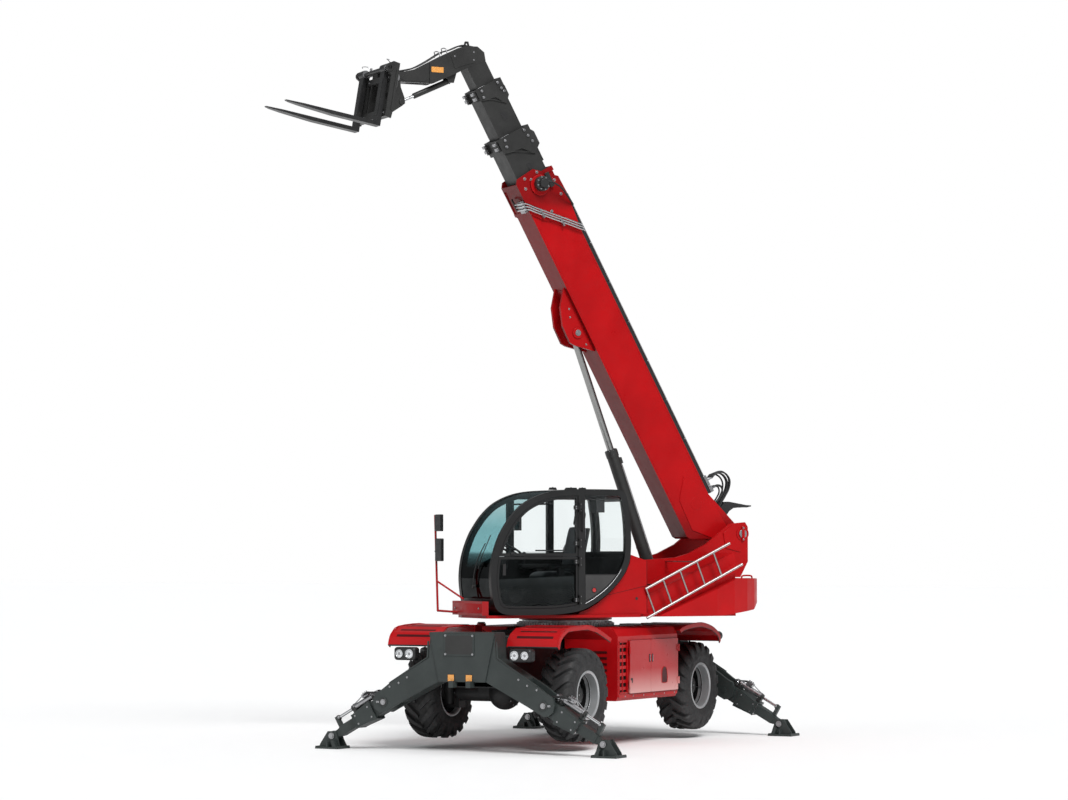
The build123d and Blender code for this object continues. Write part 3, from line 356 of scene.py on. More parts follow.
m_glass = glass("cab_glazing", (0.45, 0.66, 0.68), 0.03, True)
m_clear = glass("door_glazing", (0.97, 0.985, 0.985), 0.012)
m_dim = glass("lower_door_glazing", (0.62, 0.65, 0.65), 0.012)


def lamp_mat(name, base, rings=120.0, rough=0.12, emit=0.0):
    g = G(name)
    w = g.n("ShaderNodeTexWave", wave_type="BANDS", bands_direction="Z")
    w.inputs["Scale"].default_value = rings
    g.l(g.obj, w.inputs["Vector"])
    g.color(g.mix(w.outputs["Fac"], tuple(v * 0.7 for v in base), base))
    g.b.inputs["Roughness"].default_value = rough
    g.b.inputs["Coat Weight"].default_value = 0.8
    g.bump(w.outputs["Fac"], 0.4, 0.002)
    return g.m


m_lens = lamp_mat("headlamp_lens", (0.80, 0.82, 0.84), 45, 0.08)
m_lens.node_tree.nodes["Principled BSDF"].inputs["Metallic"].default_value = 0.6
m_amber = lamp_mat("amber_reflector", (0.85, 0.36, 0.06), 110, 0.25)
m_redlens = lamp_mat("red_lens", (0.45, 0.01, 0.01), 110, 0.2)


# doors: red with a painted reflection of the pale floor, blending to a pale pink towards the bottom
def door_floor_reflection():
    g = G("door_painted_floor_reflection")
    z = g.xyz()[2]
    f = g.rng(z, 0.68, 0.98, 1.0, 0.0)
    f = g.math("POWER", f, 1.25)
    c = g.mix(g.noise(2.0, 5), (0.33, 0.0035, 0.006), (0.37, 0.005, 0.008))
    g.color(g.mix(f, c, (0.56, 0.27, 0.255)))
    g.rough(g.rng(g.noise(7, 6, 0.6), 0.3, 0.7, 0.26, 0.40))
    g.bump(g.noise(160, 2, 0.5), 0.35, 0.00035)
    g.b.inputs["Coat Weight"].default_value = 0.18
    g.b.inputs["Coat Roughness"].default_value = 0.08
    g.b.inputs["Specular IOR Level"].default_value = 0.22
    return g.m


m_door_reflection = door_floor_reflection()


def bumper_paint():
    g = G("bumper_and_mirrors")
    p = g.xyz(g.turned(R(35), (SX, SY, 0)))
    f = g.math("MULTIPLY", g.math("GREATER_THAN", p[1], 0.2005), g.math("GREATER_THAN", p[2], 2.30))
    c = g.mix(g.rng(g.noise(1.7, 5), 0.35, 0.65, 0, 1), (0.30, 0.0028, 0.0046), (0.37, 0.0033, 0.0055))
    g.color(g.mix(f, c, (0.0075, 0.0075, 0.008)))
    g.rough(g.rng(g.noise(7, 6, 0.6), 0.3, 0.7, 0.28, 0.42))
    g.bump(g.noise(160, 2, 0.5), 0.35, 0.00035)
    g.b.inputs["Coat Weight"].default_value = 0.15
    g.b.inputs["Specular IOR Level"].default_value = 0.22
    return g.m


m_bumper = bumper_paint()


def boom_paint():
    # painted shade: the head collar and the heel of the boom are darkened to a deeper red than the long tube
    g = G("boom_red_painted_shade")
    z = g.xyz()[2]
    f = g.math("MULTIPLY", g.math("MAXIMUM", g.rng(z, 6.86, 6.98, 0.0, 1.0), g.rng(z, 3.05, 2.75, 0.0, 1.0)), 0.62)
    c = g.mix(g.rng(g.noise(1.7, 5), 0.35, 0.65, 0, 1), (0.335, 0.0024, 0.0040), (0.405, 0.0030, 0.0048))
    c = g.mix(f, c, (0.120, 0.0035, 0.0042))
    # painted shade on the faces turned downward
    tc = g.n("ShaderNodeTexCoord")
    under = g.rng(g.xyz(tc.outputs["Normal"])[2], -0.15, -0.42, 0.0, 0.75)
    c = g.mix(under, c, (0.085, 0.0020, 0.0026))
    d = g.rng(g.noise(11, 8, 0.7), 0.52, 0.78, 0, 0.12)
    g.color(g.mix(d, c, (0.20, 0.020, 0.018)))
    g.rough(g.rng(g.noise(7, 6, 0.6), 0.3, 0.7, 0.27, 0.42))
    g.bump(g.noise(160, 2, 0.5), 0.35, 0.00035)
    g.b.inputs["Coat Weight"].default_value = 0.08
    g.b.inputs["Coat Roughness"].default_value = 0.08
    g.b.inputs["Specular IOR Level"].default_value = 0.13
    return g.m


m_boom = boom_paint()


def set_mat(node, m):
    o = NODES[node]
    if not o.material_slots:
        o.data.materials.append(m)
    for s in o.material_slots:
        s.material = m


for n in ("chassis_frame", "axles"):
    set_mat(n, m_chas)
for t, _, _ in CORNERS:
    set_mat("knuckle_" + t, m_chas)
    set_mat("rim_" + t, m_rim)
    set_mat("tyre_" + t, m_tyre)
    for k in ("leg", "extension", "foot"):
        set_mat(f"outrigger_{k}_{t}", m_out)
set_mat("outrigger_housings", m_out)
for n in ("fenders", "engine_housing", "tank_box"):
    set_mat(n, m_red_low)
for n in ("turret_frame", "counterweight", "turret_hoods"):
    set_mat(n, m_red)
set_mat("boom_base", m_boom)
set_mat("front_bumper_and_mirrors", m_bumper)
for n in ("engine_door_rear", "engine_door_front"):
    set_mat(n, m_door_reflection)
for n in ("cab_shell", "door_upper", "door_lower"):
    set_mat(n, m_cab)
for n in ("boom_stage_2", "boom_stage_3", "boom_stage_4", "lift_barrel", "tilt_barrel", "fork_carriage"):
    set_mat(n, m_char)
for n in ("fork_left", "fork_right"):
    set_mat(n, m_fork)
set_mat("ladder", m_ladder)
set_mat("slew_ring", m_steel)
set_mat("engine_block", m_cast)
set_mat("lamp_housings", m_black)
set_mat("console", m_dash)
set_mat("hose_tray", m_black)
set_mat("cab_glass", m_glass)
set_mat("door_upper_glass", m_clear)
set_mat("door_lower_glass", m_dim)
set_mat("lift_rod", m_rod)
set_mat("tilt_rod", m_chrome)
set_mat("seat", m_fabric)


# ------------------------------------------------------------------ mesh builder
class Piece:
    def __init__(self, name, body, slot=None, bevel=0.0, replaces=None, angle=35):
        self.name, self.body, self.slot, self.bevel, self.rep, self.angle = name, body, slot, bevel, replaces, angle
        self.v, self.f, self.mi, self.mats = [], [], [], []

    def _m(self, m):
        if m not in self.mats:
            self.mats.append(m)
        return self.mats.index(m)

    def add(self, verts, faces, m, M=Matrix()):
        b = len(self.v)
        flip = M.determinant() < 0
        self.v += [tuple(M @ Vector(p)) for p in verts]
        for f in faces:
            f = [b + i for i in f]
            self.f.append(f[::-1] if flip else f)
            self.mi.append(self._m(m))

    def box(self, x0, x1, y0, y1, z0, z1, m, M=Matrix()):
        x0, x1 = sorted((x0, x1))
        y0, y1 = sorted((y0, y1))
        z0, z1 = sorted((z0, z1))
        v = [(x, y, z) for z in (z0, z1) for y in (y0, y1) for x in (x0, x1)]
        self.add(v, [(0, 2, 3, 1), (4, 5, 7, 6), (0, 1, 5, 4), (2, 6, 7, 3), (0, 4, 6, 2), (1, 3, 7, 5)], m, M)

    def lathe(self, prof, m, M=Matrix(), n=32, closed=False):
        # profile points are (along local Z, radius); the surface turns about local Z
        v, f = [], []
        k = len(prof)
        for i in range(n):
            a = 2 * math.pi * i / n
            for z, r in prof:
                v.append((r * math.cos(a), r * math.sin(a), z))
        for i in range(n):
            j = (i + 1) % n
            for q in range(k if closed else k - 1):
                w = (q + 1) % k
                f.append((i * k + q, j * k + q, j * k + w, i * k + w))
        if not closed:
            if prof[0][1] > 1e-6:
                f.append([i * k for i in range(n)][::-1])
            if prof[-1][1] > 1e-6:
                f.append([i * k + k - 1 for i in range(n)])
        self.add(v, f, m, M)

    def cyl(self, p0, p1, r, m, M=Matrix(), n=20, cham=0.0, r1=None):
        p0, p1 = Vector(p0), Vector(p1)
        d = p1 - p0
        q = Matrix.Translation(p0) @ d.to_track_quat("Z", "Y").to_matrix().to_4x4()
        h = d.length
        r1 = r if r1 is None else r1
        if cham:
            prof = [(0, r - cham), (cham, r), (h - cham, r1), (h, r1 - cham)]
        else:
            prof = [(0, r), (h, r1)]
        self.lathe(prof, m, M @ q, n)

    def hexa(self, p, d, r, h, m, M=Matrix()):
        p, d = Vector(p), Vector(d).normalized()
        self.cyl(p, p + d * h * 0.35, r * 1.35, m, M, 16)
        self.cyl(p + d * h * 0.35, p + d * h, r, m, M, 6)

    def ball(self, p, r, m, M=Matrix(), n=12):
        prof = [(r * math.sin(R(-90 + 180 * i / n)), max(0.0, r * math.cos(R(-90 + 180 * i / n)))) for i in range(n + 1)]
        self.lathe(prof, m, M @ Matrix.Translation(p), 2 * n)

    def prism(self, pts, lo, hi, axis, m, M=Matrix()):
        k = len(pts)
        area = sum(pts[i][0] * pts[(i + 1) % k][1] - pts[(i + 1) % k][0] * pts[i][1] for i in range(k))
        if area < 0:
            pts = pts[::-1]
        if axis == "z":
            f = lambda p, h: (p[0], p[1], h)
        elif axis == "x":
            f = lambda p, h: (h, p[0], p[1])
        else:
            f = lambda p, h: (p[0], -h, p[1])
            lo, hi = -hi, -lo
        v = [f(p, lo) for p in pts] + [f(p, hi) for p in pts]
        faces = [tuple(range(k))[::-1], tuple(range(k, 2 * k))]
        faces += [(i, (i + 1) % k, k + (i + 1) % k, k + i) for i in range(k)]
        self.add(v, faces, m, M)

    def tube(self, pts, r, m, M=Matrix(), n=10, steps=6):
        # smooth tube through points (Catmull-Rom)
        P = [Vector(p) for p in pts]
        out = []
        if len(P) > 2 and steps > 1:
            Q = [2 * P[0] - P[1]] + P + [2 * P[-1] - P[-2]]
            for i in range(1, len(Q) - 2):
                for s in range(steps):
                    t = s / steps
                    a, b, c, d = Q[i - 1], Q[i], Q[i + 1], Q[i + 2]
                    out.append(0.5 * ((2 * b) + (c - a) * t + (2 * a - 5 * b + 4 * c - d) * t * t + (3 * b - a - 3 * c + d) * t ** 3))
            out.append(P[-1])
        else:
            out = P
        up = Vector((0, 0, 1))
        v, f = [], []
        prev = None
        for i, p in enumerate(out):
            d = (out[min(i + 1, len(out) - 1)] - out[max(i - 1, 0)]).normalized()
            if prev is None:
                a = d.cross(up if abs(d.z) < 0.9 else Vector((1, 0, 0))).normalized()
            else:
                a = (prev - d * prev.dot(d)).normalized()
            prev = a
            b = d.cross(a)
            for k in range(n):
                t = 2 * math.pi * k / n
                v.append(p + a * (r * math.cos(t)) + b * (r * math.sin(t)))
        for i in range(len(out) - 1):
            for k in range(n):
                j = (k + 1) % n
                f.append((i * n + k, i * n + j, (i + 1) * n + j, (i + 1) * n + k))
        f.append(tuple(range(n))[::-1])
        f.append(tuple(range((len(out) - 1) * n, len(out) * n)))
        self.add([tuple(p) for p in v], f, m, M)

    def done(self):
        me = bpy.data.meshes.new(self.name)
        me.from_pydata(self.v, [], self.f)
        for m in self.mats:
            me.materials.append(m)
        for p, i in zip(me.polygons, self.mi):
            p.material_index = i
            p.use_smooth = True
        me.update()
        bm = bmesh.new()
        bm.from_mesh(me)
        bmesh.ops.recalc_face_normals(bm, faces=bm.faces)
        bm.to_mesh(me)
        bm.free()
        me.set_sharp_from_angle(angle=R(self.angle))
        o = bpy.data.objects.new(self.name, me)
        bpy.context.scene.collection.objects.link(o)
        if self.bevel:
            b = o.modifiers.new("edges", "BEVEL")
            b.width, b.segments, b.limit_method, b.angle_limit = self.bevel, 2, "ANGLE", R(40)
            b.harden_normals = True
        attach(o, self.body)
        if self.rep:
            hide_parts(*self.rep)
        return o


def zrot_y():
    # turns local Z onto +Y
    return Matrix.Rotation(R(-90), 4, "X")


# ------------------------------------------------------------------ tyres
TW = 0.228


def r_top(v):
    v = abs(v)
    pts = [(0.0, 0.580), (0.12, 0.5785), (0.165, 0.574), (0.192, 0.560), (0.212, 0.534), (0.222, 0.500), (0.2265, 0.462)]
    for a, b in zip(pts, pts[1:]):
        if v <= b[0]:
            t = (v - a[0]) / (b[0] - a[0])
            return a[1] + t * (b[1] - a[1])
    return pts[-1][1]


def r_low(v):
    return r_top(v) - 0.046 if abs(v) < 0.20 else r_top(v) - 0.046 + (abs(v) - 0.20) * 1.2


CARCASS = [(-0.1893, 0.287), (-0.1943, 0.3047), (-0.206, 0.306), (-0.212, 0.318), (-0.219, 0.332), (-0.2195, 0.345), (-0.2235, 0.352), (-0.2245, 0.372),
           (-0.2275, 0.380), (-0.228, 0.402), (-0.2255, 0.410), (-0.226, 0.440), (-0.222, 0.455), (-0.214, 0.480), (-0.200, 0.504), (-0.180, 0.522), (-0.150, 0.533), (-0.08, 0.537), (0, 0.538)]
CARCASS = CARCASS + [(-a, r) for a, r in reversed(CARCASS[:-1])]
for t, sx, sy in CORNERS:
    M = side(sx, sy) @ Matrix.Translation((1.624, 0.96, 0.688)) @ zrot_y()
    P = Piece("tyre_detail_" + t, "wheel_" + t, "tyre", 0.0, ["tyre_" + t], 32)
    P.lathe(CARCASS, m_tyre, M, 72, closed=True)
    N = 19
    for s in (-1, 1):
        vs = [0.010, 0.045, 0.090, 0.135, 0.172, 0.198, 0.216, 0.2262]
        for k in range(N):
            base = 2 * math.pi * (k + (0.5 if s > 0 else 0)) / N
            secs = []
            for i, v in enumerate(vs):
                ang = base + 0.36 * max(0.0, 0.2262 - v) / 0.2162
                half = (0.026 + 0.024 * min(1, v / 0.2)) / 0.58
                if v < 0.03:
                    half *= 0.72
                secs.append((v * s, ang, half))
            verts, faces = [], []
            for v, ang, half in secs:
                ro, ri = r_top(v), r_low(v) - 0.004
                for rr, hh in ((ri, 1.18), (ro, 1.0), (ro, -1.0), (ri, -1.18)):
                    a = ang + half * hh
                    verts.append((rr * math.cos(a), rr * math.sin(a), v))
            for i in range(len(secs) - 1):
                for q in range(3):
                    faces.append((4 * i + q, 4 * i + q + 1, 4 * i + 5 + q, 4 * i + 4 + q))
                faces.append((4 * i + 3, 4 * i, 4 * i + 4, 4 * i + 7))
            faces.append((3, 2, 1, 0))
            e = 4 * (len(secs) - 1)
            faces.append((e, e + 1, e + 2, e + 3))
            P.add(verts, faces, m_lug, M)
    P.done()

    # dark hub and disc inside the silver rim, wheel nuts, valve
    P = Piece("hub_detail_" + t, "wheel_" + t, "paint_chassis", 0.0)
    P.lathe([(-0.030, 0.245), (-0.012, 0.247), (-0.006, 0.238), (-0.010, 0.205), (0.004, 0.190), (0.006, 0.135), (0.013, 0.130), (0.030, 0.122), (0.070, 0.116), (0.082, 0.102), (0.088, 0.060), (0.089, 0.0)], m_hub, M, 48)
    for k in range(12):
        a = 2 * math.pi * (k + 0.5) / 12
        P.hexa((0.162 * math.cos(a), 0.162 * math.sin(a), 0.005), (0, 0, 1), 0.0125, 0.026, m_steel, M)
    for k in range(8):
        a = 2 * math.pi * k / 8
        P.hexa((0.092 * math.cos(a), 0.092 * math.sin(a), 0.080), (0, 0, 1), 0.007, 0.010, m_hub, M)
    for k in range(8):
        a = 2 * math.pi * (k + 0.5) / 8
        P.cyl((0.221 * math.cos(a), 0.221 * math.sin(a), -0.012), (0.221 * math.cos(a), 0.221 * math.sin(a), -0.004), 0.018, m_black, M, 16)
    P.cyl((0.02, 0.0, 0.088), (0.02, 0.0, 0.096), 0.012, m_steel, M, 6)
    P.done()
    P = Piece("rim_ring_" + t, "wheel_" + t, "rim_silver", 0.0)
    P.lathe([(0.196, 0.3035), (0.2065, 0.3045), (0.2105, 0.300), (0.2115, 0.289), (0.206, 0.280), (0.200, 0.2735), (0.199, 0.290)], m_rim, M, 72, closed=True)
    P.lathe([(0.086, 0.2610), (0.094, 0.2585), (0.104, 0.2610), (0.104, 0.2660), (0.086, 0.2655)], m_rim, M, 72, closed=True)
    P.tube([(0.235, 0.03, 0.03), (0.243, 0.03, 0.07), (0.247, 0.03, 0.10)], 0.006, m_steel, M, 8, 3)
    P.done()

# ------------------------------------------------------------------ chassis details
P = Piece("chassis_fittings", "chassis", "steel", 0.0018)
for s in (1, -1):
    m = side(s, 1)
    # bolted cover, raised side ribs and reflectors on the outrigger housing
    P.box(2.727, 2.737, -0.245, 0.175, 1.185, 1.452, m_out, m)
    P.box(2.737, 2.7385, -0.225, 0.155, 1.205, 1.432, m_char, m)
    for y in (-0.225, 0.155):
        for z in (1.205, 1.432):
            P.hexa((2.737, y, z), (1, 0, 0), 0.011, 0.012, m_steel, m)
    for y in (-0.149, 0.103):
        P.box(2.727, 2.735, y - 0.042, y + 0.042, 0.875, 0.955, m_amber, m)
        P.box(2.727, 2.731, y - 0.048, y + 0.048, 0.869, 0.961, m_black, m)
        P.cyl((2.735, y, 0.84), (2.745, y, 0.84), 0.010, m_steel, m, 10)
    for sy in (-1, 1):
        mm = side(s, sy)
        # welded edge strips on the arms
        P.prism([(0.478, 1.16), (0.472, 1.36), (0.490, 1.36), (0.500, 1.165), (1.04, 0.842), (1.032, 0.828)], 2.700, 2.718, "x", m_out, mm)
        P.prism([(0.318, 0.868), (0.45, 1.465), (0.458, 1.463), (0.326, 0.866)], 2.712, 2.7285, "x", m_out, mm)
        P.cyl((2.712, PIN_Y, PIN_Z), (2.726, PIN_Y, PIN_Z), 0.050, m_char, mm, 24, 0.004)
        P.hexa((2.724, PIN_Y, PIN_Z), (1, 0, 0), 0.026, 0.014, m_steel, mm)
        P.box(2.7125, 2.720, PIN_Y - 0.015, PIN_Y + 0.10, PIN_Z - 0.012, PIN_Z + 0.012, m_steel, mm)
        P.hexa((2.72, PIN_Y + 0.085, PIN_Z), (1, 0, 0), 0.008, 0.008, m_steel, mm)
        # greased inner pad and stop block between the cheeks
        P.box(2.50, 2.664, 0.842, 0.858, 0.72, 0.80, m_steel, mm)
        for x, y, z in ((2.7125, 1.03, 0.79), (2.7125, 0.90, 0.84), (2.7125, 0.78, 0.91)):
            P.hexa((x, y, z), (1, 0, 0), 0.010, 0.010, m_steel, mm)
P.done()

P = Piece("head_lamps", "chassis", "glass", 0.0)
for sy in (-1, 1):
    m = side(1, sy)
    for y, r in ((0.737, 0.055), (0.878, 0.050)):
        Q = m @ Matrix.Translation((2.7185, y, 1.2)) @ Matrix.Rotation(R(90), 4, "Y")
        P.lathe([(0.0, r), (0.012, r), (0.017, r * 0.86), (0.021, r * 0.55), (0.0225, 0.0)], m_lens, Q, 40)
        P.lathe([(0.002, r + 0.003), (0.023, r + 0.003), (0.026, r + 0.001), (0.026, r - 0.004), (0.018, r - 0.006)], m_chrome, Q, 40)
        P.lathe([(0.0228, 0.0), (0.0222, 0.012), (0.0236, 0.014), (0.0236, 0.018), (0.0215, 0.019)], m_steel, Q, 24)
    P.box(2.6405, 2.715, 0.805, 0.812, 1.13, 1.27, m_black, m)
    m = side(-1, sy)
    Q = m @ Matrix.Translation((2.275, 1.12, 1.33)) @ Matrix.Rotation(R(90), 4, "Y")
    P.lathe([(0.0, 0.050), (0.006, 0.050), (0.010, 0.040), (0.012, 0.0)], m_redlens, Q, 32)
    P.lathe([(0.0, 0.060), (0.010, 0.060), (0.012, 0.056), (0.010, 0.050)], m_black, Q, 32)
P.done()

P = Piece("fender_trim", "chassis", "black_plastic", 0.0012)
FT = [(2.476, 1.296), (2.440, 1.392), (2.380, 1.452), (2.230, 1.522), (1.700, 1.546), (1.420, 1.500), (1.110, 1.392), (1.040, 1.366)]
RT = [(2.190, 1.270), (2.160, 1.345), (2.080, 1.400), (1.900, 1.468), (1.600, 1.516), (1.300, 1.502), (1.040, 1.470), (0.930, 1.436)]


def on(poly, x):
    for a, b in zip(poly, poly[1:]):
        if b[0] <= x <= a[0]:
            t = (x - a[0]) / (b[0] - a[0])
            return a[1] + t * (b[1] - a[1])
    return poly[-1][1]


for sy in (-1, 1):
    for s, poly, x_rib in ((1, FT, (2.42, 2.32, 2.18, 2.04)), (-1, RT, (2.10, 1.98, 1.84, 1.70))):
        m = side(s, sy)
        cx, cz = 1.624, 0.688
        # ribs across the fender top in dark red: painted shade
        for x in x_rib:
            z0, z1 = on(poly, x + 0.014), on(poly, x - 0.014)
            P.prism([(x + 0.014, z0 - 0.002), (x + 0.012, z0 + 0.0035), (x - 0.012, z1 + 0.0035), (x - 0.014, z1 - 0.002)], 0.60, 1.10, "y", m_red_dark, m)
        # rolled outer lip and rubber edge
        P.tube([(x, 1.191, z + 0.001) for x, z in poly], 0.0072, m_red_low, m, 8, 3)
        low = [(x + (cx - x) / math.hypot(x - cx, z - cz) * 0.050, z + (cz - z) / math.hypot(x - cx, z - cz) * 0.050) for x, z in poly]
        P.tube([(x, 1.190, z) for x, z in low], 0.0075, m_seal, m, 8, 3)
        P.tube([(poly[0][0] - 0.003, y, poly[0][1] - 0.002) for y in (0.50, 0.8, 1.19)], 0.010, m_seal, m, 8, 2)
P.done()

P = Piece("side_box_trim", "chassis", "black_plastic", 0.0012)
m = CH
P.box(-0.885, 0.80, 1.1705, 1.1755, 0.615, 0.655, m_red_low, m)
for z in (0.667, 1.334):
    P.box(-0.885, 0.530, 1.1705, 1.1765, z - 0.003, z + 0.003, m_red_dark, m)
# grille field: wire mesh behind the slats, frame and fixings
for k in range(19):
    z = 0.705 + 0.0315 * k
    P.cyl((0.566, 1.142, z), (0.771, 1.142, z), 0.0028, m_black, m, 6)
for k in range(7):
    x = 0.576 + 0.031 * k
    P.cyl((x, 1.146, 0.69), (x, 1.146, 1.31), 0.0028, m_black, m, 6)
P.box(0.558, 0.779, 1.110, 1.128, 0.68, 1.32, m_black, m)
for x in (0.556, 0.781):
    P.box(x - 0.006, x + 0.006, 1.170, 1.1765, 0.675, 1.325, m_red_low, m)
for z in (0.680, 1.320):
    P.box(0.550, 0.787, 1.170, 1.1765, z - 0.007, z + 0.007, m_red_low, m)
for x in (-0.80, -0.5, -0.2, 0.1, 0.40, 0.62):
    P.hexa((x, 1.1755, 0.634), (0, 1, 0), 0.008, 0.006, m_steel, m)
# rear and front end louvres as dark red strips of painted shade, top ribs
for k in range(6):
    z = 0.80 + 0.075 * k
    P.box(0.8205, 0.826, 0.60, 1.02, z, z + 0.030, m_red_dark, m)
    P.box(-0.9055, -0.9005, 0.60, 1.02, z, z + 0.030, m_red_dark, m)
for x in (-0.62, -0.40, -0.18, 0.04, 0.26, 0.48):
    P.box(x, x + 0.016, 0.80, 1.00, 1.4995, 1.504, m_red_low, m)
P.done()

P = Piece("right_box_trim", "chassis", "steel", 0.0012)
m = CH
P.cyl((0.62, -0.90, 1.529), (0.62, -0.90, 1.548), 0.050, m_black, m, 28, 0.006)
for k in range(5):
    P.box(-0.72 + 0.31 * k, -0.46 + 0.31 * k, -1.178, -1.1705, 0.72, 1.26, m_red_low, m)
for k in range(5):
    for z in (0.75, 1.23):
        P.hexa((-0.70 + 0.31 * k, -1.178, z), (0, -1, 0), 0.009, 0.008, m_steel, m)
        P.hexa((-0.48 + 0.31 * k, -1.178, z), (0, -1, 0), 0.009, 0.008, m_steel, m)
P.box(-0.55, -0.25, -1.186, -1.178, 0.86, 1.02, m_black, m)
P.cyl((-0.40, -1.186, 0.94), (-0.40, -1.192, 0.94), 0.045, m_clear, m, 28)
P.box(-0.885, 0.80, -1.1755, -1.1705, 0.615, 0.655, m_red_low, m)
P.done()

# doors: latches, edge seal and the arched grip recess, a flat dark red sheet of painted shade
P = Piece("engine_door_rear_trim", "engine_door_rear", "black_plastic", 0.0008)
arch = [(-0.385, 0.775), (-0.385, 0.90), (-0.400, 0.945), (-0.425, 0.968), (-0.462, 0.978), (-0.499, 0.968), (-0.524, 0.945), (-0.540, 0.90), (-0.540, 0.775)]
P.prism(arch, 1.1955, 1.1985, "y", m_red_dark, CH)
P.tube([(x, 1.198, z) for x, z in arch] + [(arch[0][0], 1.198, arch[0][1])], 0.0045, m_red_low, CH, 8, 2)
P.box(-0.128, -0.100, 1.1955, 1.2005, 1.05, 1.15, m_black, CH)
P.box(-0.121, -0.107, 1.200, 1.206, 1.062, 1.138, m_steel, CH)
P.done()
P = Piece("engine_door_front_trim", "engine_door_front", "black_plastic", 0.0008)
P.box(-0.050, -0.022, 1.1955, 1.2005, 1.05, 1.15, m_black, CH)
P.box(-0.043, -0.029, 1.200, 1.206, 1.062, 1.138, m_steel, CH)
P.box(0.45, 0.505, 1.1955, 1.1985, 0.80, 0.86, m_black, CH)
P.done()

# underside: drive line, steering rods, hoses, ribs
P = Piece("drive_line", "chassis", "cast", 0.0015)
m = CH
P.cyl((-1.40, 0, 0.70), (1.40, 0, 0.70), 0.038, m_chas, m, 20)
for x in (-1.40, 1.40, -0.25, 0.25):
    P.cyl((x - 0.045, 0, 0.70), (x + 0.045, 0, 0.70), 0.062, m_cast, m, 20, 0.01)
P.box(-0.20, 0.20, -0.16, 0.16, 0.62, 0.775, m_cast, m)
for s in (1, -1):
    mm = side(s, 1)
    for sy in (1, -1):
        q = side(s, sy)
        P.cyl((1.459, 0.33, 0.688), (1.459, 0.47, 0.688), 0.017, m_chrome, q, 14)
        P.cyl((1.459, 0.305, 0.688), (1.459, 0.335, 0.688), 0.044, m_chas, q, 20, 0.006)
        P.tube([(1.459, 0.25, 0.725), (1.40, 0.24, 0.80), (1.25, 0.20, 0.775)], 0.011, m_rubber, q, 8, 5)
        for k in range(5):
            P.hexa((1.624 + 0.10 * math.cos(R(72 * k)), 0.661, 0.688 + 0.10 * math.sin(R(72 * k))), (0, 1, 0), 0.010, 0.010, m_steel, q)
    for k in range(10):
        a = R(36 * k)
        P.hexa((1.624 + 0.203 * math.cos(a) * 0.72, 0.142, 0.688 + 0.203 * math.sin(a) * 0.72), (0, 1, 0), 0.010, 0.008, m_steel, mm)
for x in (-1.1, -0.7, 0.7, 1.1):
    P.box(x - 0.008, x + 0.008, -0.35, 0.35, 0.770, 0.781, m_chas, m)
P.done()

# deck top: bolts on the slewing ring, tread plate ribs
P = Piece("deck_details", "chassis", "steel", 0.0)
for k in range(40):
    a = 2 * math.pi * k / 40
    P.hexa((0.592 * math.cos(a), 0.592 * math.sin(a), 1.545), (0, 0, 1), 0.011, 0.014, m_steel, CH)
for k in range(96):
    a = 2 * math.pi * k / 96
    c, s_ = math.cos(a), math.sin(a)
    q = CH @ Matrix.Rotation(a, 4, "Z")
    P.prism([(0.619, -0.014), (0.632, -0.008), (0.632, 0.008), (0.619, 0.014)], 1.500, 1.540, "z", m_steel, q)
for s in (1, -1):
    for k in range(5):
        x = s * (0.72 + 0.11 * k)
        P.box(x - 0.012, x + 0.012, -0.37, 0.37, 1.4595, 1.466, m_chas, CH)
    P.box(s * 1.45, s * 2.20, -0.355, 0.355, 1.3995, 1.410, m_out, CH)
P.done()

